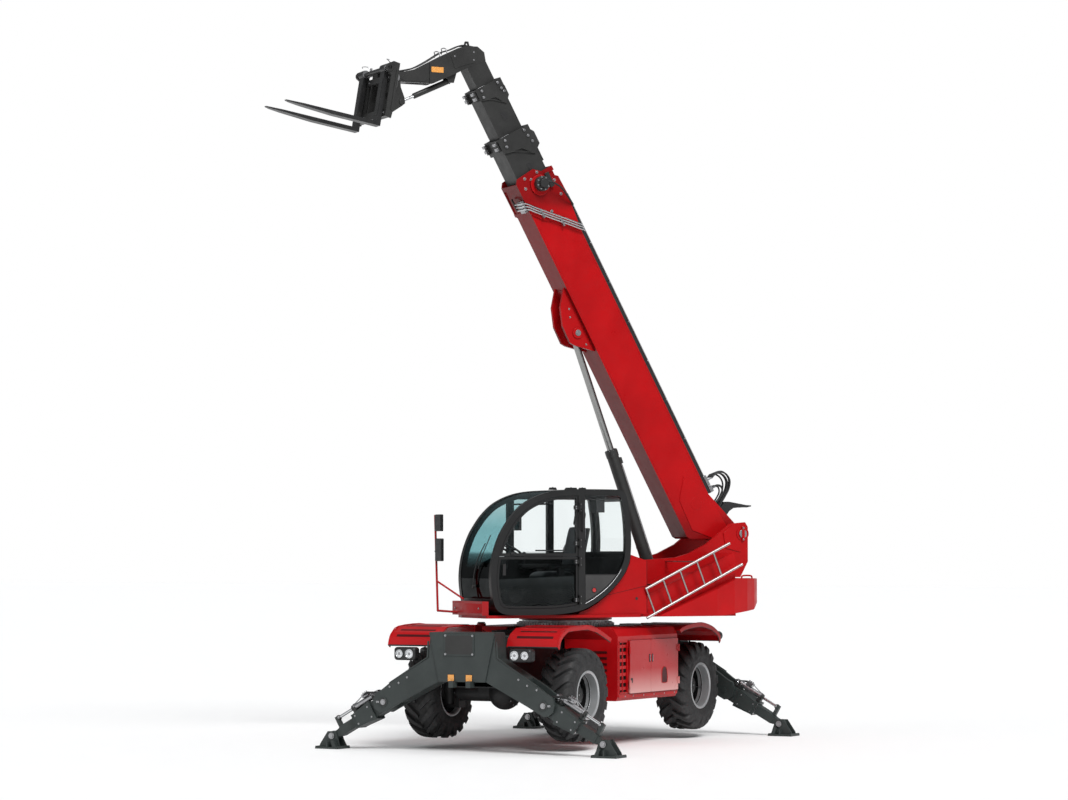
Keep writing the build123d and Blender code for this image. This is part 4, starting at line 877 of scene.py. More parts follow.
# ------------------------------------------------------------------ outrigger legs
for t, sx, sy in CORNERS:
    M = leg_place(sx, sy)
    P = Piece("leg_trim_" + t, "leg_" + t, "steel", 0.0012)
    for s in (-1, 1):
        P.cyl((0.0, s * 0.083, 0), (0.0, s * 0.0865, 0), 0.075, m_out, M, 28)
        P.prism([(0.215, -0.080), (0.235, -0.100), (0.470, -0.080), (0.470, 0.065), (0.235, 0.085), (0.215, 0.07)], min(s * 0.110, s * 0.1135), max(s * 0.110, s * 0.1135), "y", m_out, M)
        for x, z in ((0.245, 0.06), (0.245, -0.075), (0.455, 0.048), (0.455, -0.062)):
            P.hexa((x, s * 0.1135, z), (0, s, 0), 0.009, 0.008, m_steel, M)
        P.box(0.486, 0.508, s * 0.062, s * 0.098, -0.084, 0.074, m_steel, M)
    # cylinder gland, saddle straps, valve block and hoses
    XL = M @ Matrix.Translation((0, 0, 0.165)) @ Matrix.Rotation(R(90), 4, "Y")
    P.lathe([(0.470, 0.0384), (0.470, 0.0405), (0.474, 0.043), (0.4945, 0.043), (0.4985, 0.040), (0.4985, 0.0384)], m_char, XL, 32, closed=True)
    P.cyl((0.100, 0, 0.165), (0.124, 0, 0.165), 0.043, m_char, M, 28, 0.004)
    P.lathe([(0.124, 0.0372), (0.124, 0.0382), (0.486, 0.0382), (0.486, 0.0372)], m_steel, XL, 32, closed=True)
    P.box(0.052, 0.112, -0.040, 0.040, 0.118, 0.196, m_steel, M)
    P.cyl((0.082, -0.052, 0.160), (0.082, 0.052, 0.160), 0.026, m_chrome, M, 20, 0.004)
    for x in (0.15, 0.46):
        P.box(x - 0.016, x + 0.016, 0.0383, 0.046, 0.100, 0.170, m_char, M)
        P.box(x - 0.016, x + 0.016, -0.046, -0.0383, 0.100, 0.170, m_char, M)
        P.tube([(x, 0.043, 0.165), (x, 0.034, 0.198), (x, 0.0, 0.208), (x, -0.034, 0.198), (x, -0.043, 0.165)], 0.007, m_steel, M, 8, 3)
    P.box(0.205, 0.295, -0.036, 0.040, 0.204, 0.252, m_steel, M)
    for x in (0.222, 0.250, 0.278):
        P.cyl((x, 0.0, 0.252), (x, 0.0, 0.272), 0.010, m_steel, M, 6)
        P.cyl((x, 0.040, 0.228), (x, 0.056, 0.228), 0.009, m_steel, M, 12)
    P.tube([(0.222, 0.056, 0.228), (0.19, 0.082, 0.23), (0.12, 0.08, 0.20), (0.04, 0.074, 0.155), (-0.02, 0.07, 0.120)], 0.0085, m_rubber, M, 8, 5)
    P.tube([(0.250, 0.056, 0.228), (0.20, 0.098, 0.222), (0.11, 0.096, 0.185), (0.03, 0.079, 0.14), (-0.03, 0.072, 0.105)], 0.0085, m_rubber, M, 8, 5)
    P.tube([(0.278, -0.02, 0.262), (0.34, -0.01, 0.236), (0.42, 0.0, 0.212), (0.47, 0.0, 0.206)], 0.007, m_steel, M, 8, 4)
    P.done()
    P = Piece("rod_" + t, "extension_" + t, "chrome", 0.0)
    P.cyl((0.514, 0, 0.165), (0.736, 0, 0.165), 0.0192, m_chrome, M, 28)
    P.cyl((0.722, -0.034, 0.165), (0.722, 0.034, 0.165), 0.016, m_steel, M, 16, 0.002)
    P.lathe([(-0.022, 0.030), (-0.016, 0.034), (0.016, 0.034), (0.022, 0.030)], m_char, M @ Matrix.Translation((0.735, 0, 0.165)) @ zrot_y(), 24)
    for s in (-1, 1):
        P.box(0.53, 0.70, s * 0.057, s * 0.0585, -0.045, 0.030, m_out, M)
        P.cyl((LEG_LEN, s * 0.048, 0), (LEG_LEN, s * 0.052, 0), 0.047, m_out, M, 24)
    P.done()
    P = Piece("foot_trim_" + t, "foot_" + t, "steel", 0.0015)
    mm = side(sx, sy)
    for s in (-1, 1):
        P.hexa((LEG_X + s * 0.084, FOOT_Y, FOOT_Z), (s, 0, 0), 0.030, 0.020, m_steel, mm)
        P.prism([(1.80, 0.024), (1.86, 0.024), (1.885, 0.10), (1.855, 0.12)], LEG_X + s * 0.105 - 0.030, LEG_X + s * 0.105 + 0.030, "x", m_out, mm)
        for y in (1.785, 2.085):
            P.cyl((LEG_X + s * 0.115, y, 0.024), (LEG_X + s * 0.115, y, 0.030), 0.010, m_char, mm, 12)
    P.box(LEG_X - 0.139, LEG_X + 0.139, 1.768, 1.790, 0.0241, 0.034, m_out, mm)
    P.box(LEG_X - 0.139, LEG_X + 0.139, 2.080, 2.102, 0.0241, 0.034, m_out, mm)
    P.done()

# ------------------------------------------------------------------ turret
P = Piece("turret_fittings", "turret", "steel", 0.0015)
m = TU
for y, s in ((0.360, 1), (-0.560, -1)):
    # pivot pin heads with keeper plates
    P.cyl((-2.45, y, 2.69), (-2.45, y + s * 0.016, 2.69), 0.058, m_steel, m, 28, 0.004)
    P.box(-2.47, -2.43, min(y, y + s * 0.022), max(y, y + s * 0.022), 2.60, 2.78, m_red, m)
    for z in (2.615, 2.765):
        P.hexa((-2.45, y + s * 0.022, z), (0, s, 0), 0.010, 0.010, m_steel, m)
# doubler plates round the pivot and stiffening edges on both side plates
for y0, y1 in ((0.3395, 0.352), (-0.552, -0.5395)):
    P.prism([(-2.53, 2.62), (-2.50, 2.80), (-2.30, 2.80), (-2.16, 2.70), (-2.20, 2.50), (-2.42, 2.45)], y0, y1, "y", m_red, m)
# counterweight: lower lip as a dark red band of painted shade, lifting sockets, reflectors and rear lamps
P.box(-2.520, -2.506, -0.56, 0.56, 1.955, 2.030, m_red_dark, m)
for s in (-1, 1):
    P.box(-2.5215, -2.5175, s * 0.46 - 0.05, s * 0.46 + 0.05, 1.890, 1.945, m_redlens, m)
    P.cyl((-2.25, s * 0.80, 2.104), (-2.25, s * 0.80, 2.110), 0.045, m_char, m, 28)
    P.tube([(-2.33, s * 0.80, 2.106), (-2.31, s * 0.80, 2.140), (-2.19, s * 0.80, 2.140), (-2.17, s * 0.80, 2.106)], 0.011, m_red, m, 10, 4)
# right hood: louvres as dark red strips of painted shade, handles, hinges, exhaust
for k in range(7):
    z = 1.83 + 0.052 * k
    P.prism([(-1.1455, z), (-1.1455, z + 0.03), (-1.156, z + 0.012)], -0.62, -0.10, "x", m_red_dark, m)
    P.prism([(-1.1455, z), (-1.1455, z + 0.03), (-1.156, z + 0.012)], 0.12, 0.55, "x", m_red_dark, m)
for x, zt in ((-0.78, 2.22), (0.02, 2.22), (0.68, 2.08)):
    P.box(x, x + 0.006, -1.149, -1.1440, 1.68, zt, m_red_dark, m)
    P.box(x - 0.075, x - 0.050, -1.154, -1.1455, 1.75, 1.82, m_black, m)
P.cyl((-0.45, -0.86, 2.289), (-0.45, -0.86, 2.40), 0.048, m_char, m, 28)
P.tube([(-0.45, -0.86, 2.36), (-0.45, -0.86, 2.47), (-0.50, -0.88, 2.54), (-0.59, -0.92, 2.57)], 0.040, m_rod, m, 18, 6)
# dark red patches on the hood top: painted shade
for x in (-0.25, 0.0, 0.23):
    P.box(x, x + 0.16, -0.95, -0.79, 2.2895, 2.297, m_red_dark, m)
# seams in the cover behind the cab and the fairing
P.prism([(-0.602, 1.68), (-0.602, 2.34), (-0.596, 2.342), (-0.596, 1.68)], 0.345, 1.1025, "y", m_red_dark, m)
P.prism([(-0.60, 2.02), (-0.60, 2.026), (-0.02, 1.906), (-0.014, 1.90)], 1.0995, 1.1025, "y", m_red_dark, m)
P.cyl((-0.45, 1.0995, 1.86), (-0.45, 1.105, 1.86), 0.018, m_black, m, 20)
# bolts along the bottom of the turret frame
for k in range(12):
    x = -1.9 + 0.25 * k
    P.hexa((x, -0.552 + 0.0125, 1.72), (0, -1, 0), 0.010, 0.010, m_steel, m)
for k in range(32):
    a = 2 * math.pi * k / 32
    P.hexa((0.50 * math.cos(a), 0.50 * math.sin(a), 1.6625), (0, 0, 1), 0.011, 0.012, m_steel, m)
P.cyl((0, 0, 1.60), (0, 0, 1.78), 0.13, m_char, m, 36, 0.01)
for k in range(6):
    a = R(60 * k + 20)
    P.tube([(0.11 * math.cos(a), 0.11 * math.sin(a), 1.745), (0.20 * math.cos(a), 0.20 * math.sin(a), 1.765), (0.27 * math.cos(a) - 0.06, 0.22 * math.sin(a), 1.72), (0.27 * math.cos(a) - 0.16, 0.22 * math.sin(a), 1.678)], 0.012, m_rubber, m, 8, 5)
P.done()

# swing motor and valve bank in the channel under the boom
P = Piece("turret_hydraulics", "turret", "cast", 0.002)
P.cyl((0.62, 0.18, 1.662), (0.62, 0.18, 1.86), 0.085, m_cast, m, 28, 0.01)
P.cyl((0.62, 0.18, 1.86), (0.62, 0.18, 1.93), 0.055, m_black, m, 24, 0.008)
P.box(-1.05, -0.82, -0.42, 0.22, 1.663, 1.80, m_cast, m)
for k in range(7):
    y = -0.38 + 0.09 * k
    P.cyl((-0.935, y, 1.80), (-0.935, y, 1.835), 0.016, m_steel, m, 6)
    P.tube([(-0.82, y, 1.73), (-0.72, y, 1.735), (-0.60, y * 0.8, 1.70), (-0.45, y * 0.6, 1.672)], 0.010, m_rubber, m, 8, 4)
P.done()

# ------------------------------------------------------------------ cab
P = Piece("cab_trim", "turret", "black_plastic", 0.0012)
# low fittings along the roof's left edge
for x, w in ((0.72, 0.05), (0.46, 0.09), (0.30, 0.05)):
    P.prism([(x - w, 3.232), (x - w * 0.7, 3.262), (x + w * 0.7, 3.262), (x + w, 3.232)], 1.02, 1.07, "y", m_black, m)
    P.hexa((x, 1.045, 3.262), (0, 0, 1), 0.008, 0.007, m_steel, m)
# wiper on the windscreen
P.cyl((1.665, 0.74, 2.02), (1.690, 0.74, 2.02), 0.022, m_black, m, 20)
P.tube([(1.685, 0.74, 2.02), (1.690, 0.80, 2.22), (1.668, 0.90, 2.42), (1.632, 0.985, 2.56)], 0.007, m_black, m, 8, 5)
P.tube([(1.672, 0.86, 2.24), (1.664, 0.92, 2.36), (1.636, 0.99, 2.50), (1.592, 1.05, 2.66)], 0.006, m_seal, m, 8, 5)
# grab rail beside the door and hinge covers on the pillar
P.tube([(0.385, 1.20, 2.72), (0.385, 1.235, 2.74), (0.385, 1.235, 2.96), (0.385, 1.20, 2.98)], 0.010, m_black, m, 10, 4)
for z in (3.010, 2.560, 2.330, 1.850):
    P.box(0.395, 0.432, 1.1995, 1.206, z - 0.055, z + 0.055, m_char, m)
    for dz in (-0.042, 0.042):
        P.hexa((0.404, 1.206, z + dz), (0, 1, 0), 0.006, 0.006, m_steel, m)
# inner roof lining, sun visor, inner mirror and radio pod
P.box(0.0, 0.68, 0.35, 1.10, 3.12, 3.175, m_dash, m)
P.box(0.70, 0.98, 0.45, 1.02, 3.045, 3.065, m_dash, m)
P.box(1.16, 1.20, 0.92, 1.05, 2.72, 2.90, m_black, m)
P.cyl((1.18, 1.00, 2.88), (1.08, 1.10, 2.98), 0.008, m_black, m, 10)
P.box(0.02, 0.14, 0.95, 1.12, 2.95, 3.11, m_dash, m)
# low dash shelf, floor mat, pedals
P.box(1.38, 1.50, 0.36, 1.10, 2.00, 2.08, m_dash, m)
P.box(0.75, 1.22, 0.42, 1.08, 1.7285, 1.745, m_rubber, m)
for y in (0.62, 0.74, 0.86):
    P.prism([(1.14, 1.76), (1.22, 1.85), (1.23, 1.84), (1.15, 1.745)], y - 0.035, y + 0.035, "y", m_rubber, m)
# behind-seat box
P.prism([(-0.18, 2.20), (-0.24, 2.38), (0.06, 2.38), (0.12, 2.02), (0.02, 2.02)], 0.34, 1.12, "y", m_dash, m)
P.done()

# lower body skin panels: dark lower side sheet behind the door and its pale seam
P = Piece("cab_side_sheet", "turret", "paint_charcoal", 0.0)
arcp = [(0.336, 1.842), (0.336, 2.160), (-0.096, 2.160), (-0.059, 2.113), (-0.011, 2.066), (0.043, 2.020), (0.096, 1.979), (0.148, 1.943), (0.205, 1.906), (0.266, 1.871)]
P.prism(arcp, 1.2003, 1.2030, "y", m_panel, m)
P.tube([(0.336, 1.2025, 1.806), (0.266, 1.2025, 1.838), (0.205, 1.2025, 1.873), (0.148, 1.2025, 1.910), (0.096, 1.2025, 1.946), (0.043, 1.2025, 1.987), (-0.011, 1.2025, 2.033), (-0.059, 1.2025, 2.080), (-0.103, 1.2025, 2.131), (-0.141, 1.2025, 2.182), (-0.173, 1.2025, 2.230)], 0.0042, m_steel, m, 8, 2)
P.cyl((0.215, 1.203, 1.972), (0.215, 1.208, 1.972), 0.026, m_redlens, m, 24)
P.lathe([(0.0, 0.027), (0.006, 0.030), (0.006, 0.034), (0.0, 0.035)], m_black, m @ Matrix.Translation((0.215, 1.203, 1.972)) @ zrot_y(), 24)
P.done()

# bumper, mirrors
P = Piece("mirror_faces", "turret", "chrome", 0.0008)
P.box(1.9235, 1.925, 0.222, 0.368, 2.729, 2.908, m_mirror, m)
P.box(1.9165, 1.918, 0.222, 0.368, 2.352, 2.605, m_mirror, m)
P.box(1.9655, 1.969, 0.210, 0.380, 2.717, 2.920, m_black, m)
P.box(1.9585, 1.962, 0.210, 0.380, 2.340, 2.617, m_black, m)
for z in (2.80, 2.46):
    P.tube([(1.945, 0.186, z), (1.955, 0.20, z), (1.960, 0.23, z)], 0.010, m_black, m, 8, 3)
P.done()
P = Piece("bumper_trim", "turret", "steel", 0.001)
P.prism([(1.7755, 0.34), (1.779, 0.345), (1.779, 1.175), (1.7755, 1.18)], 1.69, 1.812, "z", m_red, m)
for y in (0.42, 1.10):
    P.hexa((1.779, y, 1.75), (1, 0, 0), 0.010, 0.010, m_steel, m)
P.done()

# cab door details
P = Piece("door_lower_trim", "door_lower", "black_plastic", 0.0012)
P.prism([(0.480, 1.822), (0.567, 1.808), (0.670, 1.797), (0.786, 1.789), (0.912, 1.785), (1.050, 1.784), (1.315, 1.785), (1.405, 1.791), (1.448, 1.799), (1.475, 1.811), (1.500, 1.851), (1.519, 1.931), (1.532, 2.026), (1.537, 2.110), (0.480, 2.150)], 1.158, 1.168, "y", m_doorpanel, m)
P.cyl((1.30, 1.1680, 1.93), (1.30, 1.1695, 1.93), 0.106, m_black, m, 40)
P.lathe([(0.0, 0.094), (0.0015, 0.097), (0.0015, 0.103), (0.0, 0.106)], m_panel, m @ Matrix.Translation((1.30, 1.1690, 1.93)) @ zrot_y(), 40)
P.lathe([(0.0, 0.088), (0.0012, 0.092), (0.0018, 0.080), (0.0006, 0.060), (0.0010, 0.030), (0.0, 0.0)], m_black, m @ Matrix.Translation((1.30, 1.1702, 1.93)) @ zrot_y(), 40)
P.box(0.62, 1.20, 1.112, 1.156, 2.00, 2.04, m_black, m)
for z in (2.330, 1.850):
    P.hexa((0.475, 1.218, z + 0.013), (0, 1, 0), 0.007, 0.006, m_steel, m)
    P.hexa((0.475, 1.218, z - 0.013), (0, 1, 0), 0.007, 0.006, m_steel, m)
P.box(1.46, 1.50, 1.196, 1.214, 2.16, 2.30, m_black, m)
P.done()
P = Piece("door_upper_trim", "door_upper", "black_plastic", 0.0012)
for z in (3.010, 2.560):
    P.hexa((0.475, 1.218, z + 0.013), (0, 1, 0), 0.007, 0.006, m_steel, m)
    P.hexa((0.475, 1.218, z - 0.013), (0, 1, 0), 0.007, 0.006, m_steel, m)
P.box(1.34, 1.39, 1.196, 1.212, 2.42, 2.45, m_black, m)
P.tube([(0.60, 1.150, 2.47), (0.62, 1.135, 2.47), (0.98, 1.135, 2.47), (1.0, 1.150, 2.47)], 0.009, m_black, m, 8, 4)
P.done()


# padded seat
def cushion(name, sx, sy, sz, place, mats):
    me = bpy.data.meshes.new(name)
    bm = bmesh.new()
    n = 14
    grid = {}
    for top in (0, 1):
        for i in range(n + 1):
            for j in range(n + 1):
                u, v = -1 + 2 * i / n, -1 + 2 * j / n
                edge = (1 - abs(u) ** 5) * (1 - abs(v) ** 5)
                h = (edge ** 0.45) * sz / 2
                for groove in (-0.36, 0.36):
                    h -= 0.12 * sz * math.exp(-((v - groove) / 0.05) ** 2) * edge
                h -= 0.10 * sz * math.exp(-((u - 0.25) / 0.05) ** 2) * edge
                pull = 1 - 0.03 * (u * u * v * v)
                if top == 0 and (i in (0, n) or j in (0, n)):
                    grid[(0, i, j)] = grid.get((1, i, j)) or bm.verts.new((u * sx / 2 * pull, v * sy / 2 * pull, 0))
                else:
                    if top == 1 and (i in (0, n) or j in (0, n)):
                        grid[(1, i, j)] = grid[(0, i, j)]
                    else:
                        grid[(top, i, j)] = bm.verts.new((u * sx / 2 * pull, v * sy / 2 * pull, h if top else -h * 0.55))
    for top in (0, 1):
        for i in range(n):
            for j in range(n):
                q = [grid[(top, i, j)], grid[(top, i + 1, j)], grid[(top, i + 1, j + 1)], grid[(top, i, j + 1)]]
                bm.faces.new(q if top else q[::-1])
    bm.to_mesh(me)
    bm.free()
    me.transform(place)
    for p in me.polygons:
        p.use_smooth = True
    me.materials.append(mats)
    o = bpy.data.objects.new(name, me)
    bpy.context.scene.collection.objects.link(o)
    s = o.modifiers.new("soft", "SUBSURF")
    s.levels = s.render_levels = 1
    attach(o, "turret")
    return o


c1 = cushion("seat_cushion", 0.47, 0.48, 0.15, TU @ Matrix.Translation((0.565, 0.72, 2.135)), m_fabric)
back_m = TU @ Matrix.Translation((0.33, 0.72, 2.16)) @ Matrix.Rotation(R(-12), 4, "Y")
c2 = cushion("seat_back", 0.62, 0.46, 0.13, back_m @ Matrix.Translation((0.0, 0, 0.33)) @ Matrix.Rotation(R(-90), 4, "Y") @ Matrix.Rotation(R(180), 4, "Z"), m_fabric)
c3 = cushion("head_rest", 0.19, 0.24, 0.10, back_m @ Matrix.Translation((0.0, 0, 0.735)) @ Matrix.Rotation(R(-90), 4, "Y") @ Matrix.Rotation(R(180), 4, "Z"), m_fabric)
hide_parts("seat")
P = Piece("seat_base", "turret", "black_plastic", 0.004)
P.box(0.60, 0.78, 0.54, 0.90, 1.742, 1.80, m_black, m)
for k in range(6):
    P.box(0.61 - 0.012 * (k % 2), 0.77 + 0.012 * (k % 2), 0.55, 0.89, 1.80 + 0.038 * k, 1.838 + 0.038 * k, m_rubber, m)
P.box(0.36, 0.79, 0.50, 0.94, 2.03, 2.075, m_black, m)
P.box(-0.085, -0.055, -0.20, 0.20, 0.02, 0.62, m_black, back_m)
for s in (-0.06, 0.06):
    P.cyl((0, s, 0.60), (0, s, 0.70), 0.008, m_steel, back_m, 10)
P.done()

# ------------------------------------------------------------------ boom
P = Piece("boom_base_details", "boom_base", "steel", 0.0012)
m = BO
YL, YR = 0.10, -0.30
# raised five-sided plates at the heel, both sides
for y, s in ((YL, 1), (YR, -1)):
    a, b = sorted((y, y + s * 0.008))
    P.prism([(0.10, -0.03), (0.10, -0.30), (0.34, -0.52), (0.78, -0.50), (1.02, -0.29), (0.78, -0.10)], a, b, "y", m_red, m)
    P.cyl((0.62, y, -0.30), (0.62, y + s * 0.011, -0.30), 0.085, m_red, m, 32, 0.003)
    P.cyl((0, y, 0), (0, y + s * 0.004, 0), 0.098, m_red, m, 32)
    # wear pad adjusters at the head
    for ss, n in ((5.50, -0.50), (5.50, -0.30), (5.38, -0.55), (5.12, -0.58), (5.10, -0.12), (5.30, -0.12), (4.96, -0.35), (5.45, -0.42)):
        P.hexa((ss, y + s * 0.022, n), (0, s, 0), 0.016, 0.020, m_steel, m)
        P.cyl((ss, y + s * 0.022, n), (ss, y + s * 0.028, n), 0.027, m_red, m, 20)
    # lug doublers for the lift cylinder
    P.cyl((3.39, -0.10 + s * 0.142, -0.74), (3.39, -0.10 + s * 0.158, -0.74), 0.075, m_red, m, 32, 0.004)
    P.hexa((3.39, -0.10 + s * 0.158, -0.74), (0, s, 0), 0.030, 0.016, m_steel, m)
    for ss, n in ((3.20, -0.70), (3.62, -0.74), (3.72, -0.70)):
        P.hexa((ss, -0.10 + s * 0.142, n), (0, s, 0), 0.010, 0.010, m_steel, m)
# weld seams along the tube's lower corners
for y in (YL, YR):
    P.tube([(0.75, y, -0.605), (2.0, y, -0.605), (4.85, y, -0.605)], 0.005, m_red, m, 6, 1)
    P.tube([(0.75, y, -0.085), (2.0, y, -0.085), (4.7, y, -0.085)], 0.005, m_red, m, 6, 1)
# dark motor drum on the left of the head with its bracket
P.cyl((5.335, 0.122, -0.343), (5.335, 0.150, -0.343), 0.135, m_red, m, 40, 0.006)
P.cyl((5.345, 0.150, -0.335), (5.345, 0.235, -0.335), 0.098, m_char, m, 40, 0.010)
P.cyl((5.345, 0.235, -0.335), (5.345, 0.275, -0.335), 0.060, m_black, m, 32, 0.008)
for k in range(8):
    a = R(45 * k + 10)
    P.hexa((5.345 + 0.080 * math.cos(a), 0.235, -0.335 + 0.080 * math.sin(a)), (0, 1, 0), 0.009, 0.010, m_steel, m)
P.box(5.24, 5.44, 0.150, 0.175, -0.23, -0.17, m_char, m)
P.tube([(5.345, 0.255, -0.28), (5.30, 0.26, -0.22), (5.18, 0.235, -0.13), (5.02, 0.19, -0.075), (4.90, 0.13, -0.03)], 0.012, m_rubber, m, 8, 6)
# three bright pipes wrapping round the head
for k in range(3):
    d = 0.042 * k
    P.tube([(5.24 - d, -0.05, -0.700), (5.24 - d, 0.03, -0.702), (5.235 - d, 0.110, -0.690), (5.205 - d, 0.148, -0.640), (5.12 - d, 0.150, -0.560), (4.98 - d, 0.150, -0.42), (4.80 - d, 0.150, -0.235), (4.66 - d, 0.150, -0.095), (4.62 - d, 0.128, -0.045), (4.58 - d, 0.04, -0.020)], 0.0105, m_chrome, m, 10, 6)
P.box(5.10, 5.26, -0.02, 0.10, -0.690, -0.645, m_steel, m)
for q in ((5.02, -0.50), (4.80, -0.29)):
    P.box(q[0] - 0.085, q[0] + 0.035, 0.122, 0.163, q[1] - 0.012, q[1] + 0.012, m_steel, m)
for k in range(3):
    d = 0.042 * k
    P.tube([(5.24 - d, -0.05, -0.700), (5.28 - d, -0.08, -0.695), (5.30, -0.12, -0.675), (5.30, -0.16, -0.655)], 0.012, m_rubber, m, 8, 4)
P.done()

P = Piece("hose_track", "boom_base", "black_plastic", 0.0)
for k in range(74):
    s = 0.70 + 0.0575 * k
    P.box(s, s + 0.046, -0.172, -0.028, 0.008, 0.030, m_rubber, m)
for y in (-0.214, 0.014):
    P.tube([(0.62, y, 0.026), (2.5, y, 0.026), (5.05, y, 0.026)], 0.0065, m_steel, m, 8, 1)
for k in range(8):
    s = 0.85 + 0.58 * k
    for y in (-0.222, 0.022):
        P.box(s - 0.02, s + 0.02, y - 0.010, y + 0.010, -0.07, 0.010, m_black, m)
        P.hexa((s, y, 0.010), (0, 0, 1), 0.010, 0.010, m_steel, m)
P.done()

# hose bundle and guide at the boom's foot
P = Piece("boom_foot_hoses", "boom_base", "black_plastic", 0.0)
# bright manifold blocks with their fittings
P.box(0.70, 0.84, -0.17, -0.03, 0.030, 0.085, m_steel, m)
P.box(0.60, 0.68, -0.16, -0.04, 0.030, 0.100, m_steel, m)
for k, y in enumerate((-0.155, -0.128, -0.100, -0.072, -0.045)):
    P.cyl((0.77, y, 0.080), (0.77, y, 0.128), 0.013, m_chrome, m, 6)
    P.cyl((0.77, y, 0.128), (0.765, y, 0.150), 0.010, m_steel, m, 12)
    P.cyl((0.64, y, 0.095), (0.64, y, 0.140), 0.012, m_chrome, m, 6)
# hose loops that stand off the upper face and hang back to the foot
for k, (y, w) in enumerate(((-0.155, 0.0), (-0.128, 0.040), (-0.100, 0.075), (-0.072, 0.025), (-0.045, 0.055))):
    P.tube([(0.765, y, 0.150), (0.785, y, 0.205 + w * 0.6), (0.760, y + 0.004, 0.270 + w), (0.690, y + 0.008, 0.318 + w), (0.600, y + 0.010, 0.318 + w), (0.515, y + 0.010, 0.262 + w * 0.8), (0.455, y + 0.008, 0.180 + w * 0.5), (0.405, y + 0.004, 0.100 + w * 0.3), (0.355, y, 0.045), (0.300, y * 0.9 - 0.01, -0.010)], 0.0115, m_rubber, m, 10, 6)
for k, (y, w) in enumerate(((-0.142, 0.0), (-0.086, 0.02), (-0.058, 0.0))):
    P.tube([(0.640, y, 0.140), (0.630, y, 0.185 + w), (0.585, y + 0.006, 0.225 + w), (0.520, y + 0.006, 0.205 + w), (0.470, y + 0.004, 0.130 + w), (0.440, y, 0.060), (0.400, y, 0.005)], 0.0105, m_rubber, m, 10, 6)
# curved horn that guides the hoses when the boom rises
horn = [(0.330, 0.000), (0.372, 0.080), (0.392, 0.150), (0.370, 0.215), (0.300, 0.305), (0.205, 0.425), (0.163, 0.492), (0.150, 0.486), (0.170, 0.420), (0.225, 0.320), (0.262, 0.235), (0.258, 0.160), (0.225, 0.085), (0.170, 0.020), (0.180, 0.000)]
for y in (-0.190, -0.028):
    P.prism(horn, y, y + 0.014, "y", m_black, m)
P.prism([(0.372, 0.212), (0.300, 0.302), (0.205, 0.422), (0.165, 0.486), (0.158, 0.478), (0.196, 0.416), (0.290, 0.296), (0.360, 0.206)], -0.178, -0.026, "y", m_black, m)
P.cyl((0.300, -0.176, 0.170), (0.300, -0.028, 0.170), 0.010, m_steel, m, 14)
P.box(0.16, 0.36, -0.195, -0.010, -0.03, 0.004, m_black, m)
P.done()


def stage_details(name, body, w, d, t, s_c0, s_c1, out, tail):
    P = Piece(name, body, "steel", 0.0012)
    yc, nc = -0.10, -0.35
    for s in (-1, 1):
        y = yc + s * (w / 2 + out)
        # pad adjusters in pairs, plate edge, inspection slot as a black sheet of painted shade
        for ss, n in ((s_c1 - 0.045, nc + d * 0.36), (s_c1 - 0.045, nc - d * 0.34), (s_c1 - 0.13, nc + d * 0.40), (s_c1 - 0.13, nc - d * 0.38), (s_c0 - 0.02, nc + d * 0.45)):
            P.cyl((ss, y, n), (ss, y + s * 0.006, n), 0.026, m_char, m, 20)
            P.hexa((ss, y + s * 0.006, n), (0, s, 0), 0.014, 0.018, m_steel, m)
        P.tube([(s_c0, y - s * 0.004, nc - d * 0.44), (s_c0 - 0.045, y - s * 0.004, nc - d * 0.1), (s_c0 - 0.165, y - s * 0.004, nc + d * 0.34)], 0.006, m_char, m, 6, 4)
        P.prism([(s_c0 - 0.36, nc + 0.03), (s_c0 - 0.33, nc + 0.075), (s_c0 - 0.28, nc + 0.075), (s_c0 - 0.25, nc + 0.03), (s_c0 - 0.25, nc - 0.01), (s_c0 - 0.36, nc - 0.01)],
                min(yc + s * w / 2, yc + s * (w / 2 + 0.003)), max(yc + s * w / 2, yc + s * (w / 2 + 0.003)), "y", m_black, m)
        # pads seen in the mouth of the section
        P.box(s_c1 - 0.005, s_c1 + 0.004, yc + s * (w / 2 - t - 0.018), yc + s * (w / 2 - t + 0.012), nc - d * 0.40, nc - d * 0.12, m_steel, m)
    # blocks under the mouth with their bolts
    for s in (-1, 1):
        y = yc + s * (w / 2 - 0.02)
        P.box(s_c1 - 0.125, s_c1 - 0.085, y - 0.03, y + 0.03, nc - d / 2 - out - 0.058, nc - d / 2 - out - 0.030, m_steel, m)
        P.box(s_c1 - 0.055, s_c1 - 0.020, y - 0.03, y + 0.03, nc - d / 2 - out - 0.058, nc - d / 2 - out - 0.030, m_steel, m)
    for y in (yc - w * 0.25, yc + w * 0.25):
        P.hexa((s_c1 - 0.06, y, nc + d / 2 + out), (0, 0, 1), 0.014, 0.018, m_steel, m)
        P.hexa((s_c1 - 0.12, y, nc + d / 2 + out), (0, 0, 1), 0.014, 0.018, m_steel, m)
    for q in tail:
        P.tube(q, 0.011, m_rubber, m, 8, 4)
    P.done()


stage_details("stage_2_fittings", "boom_stage_2", 0.34, 0.45, 0.008, 5.90, 6.10, 0.026, [])
stage_details("stage_3_fittings", "boom_stage_3", 0.28, 0.37, 0.008, 6.64, 6.80, 0.020, [])
P = Piece("stage_2_hoses", "boom_stage_2", "black_plastic", 0.0)
P.box(5.58, 6.06, -0.205, -0.180, -0.125, -0.070, m_black, m)
P.box(5.58, 6.06, -0.020, 0.005, -0.125, -0.070, m_black, m)
for y in (-0.15, -0.12, -0.09, -0.06):
    P.tube([(5.60, y, -0.112), (5.80, y, -0.100), (6.0, y, -0.092), (6.06, y, -0.090)], 0.010, m_rubber, m, 8, 4)
P.done()

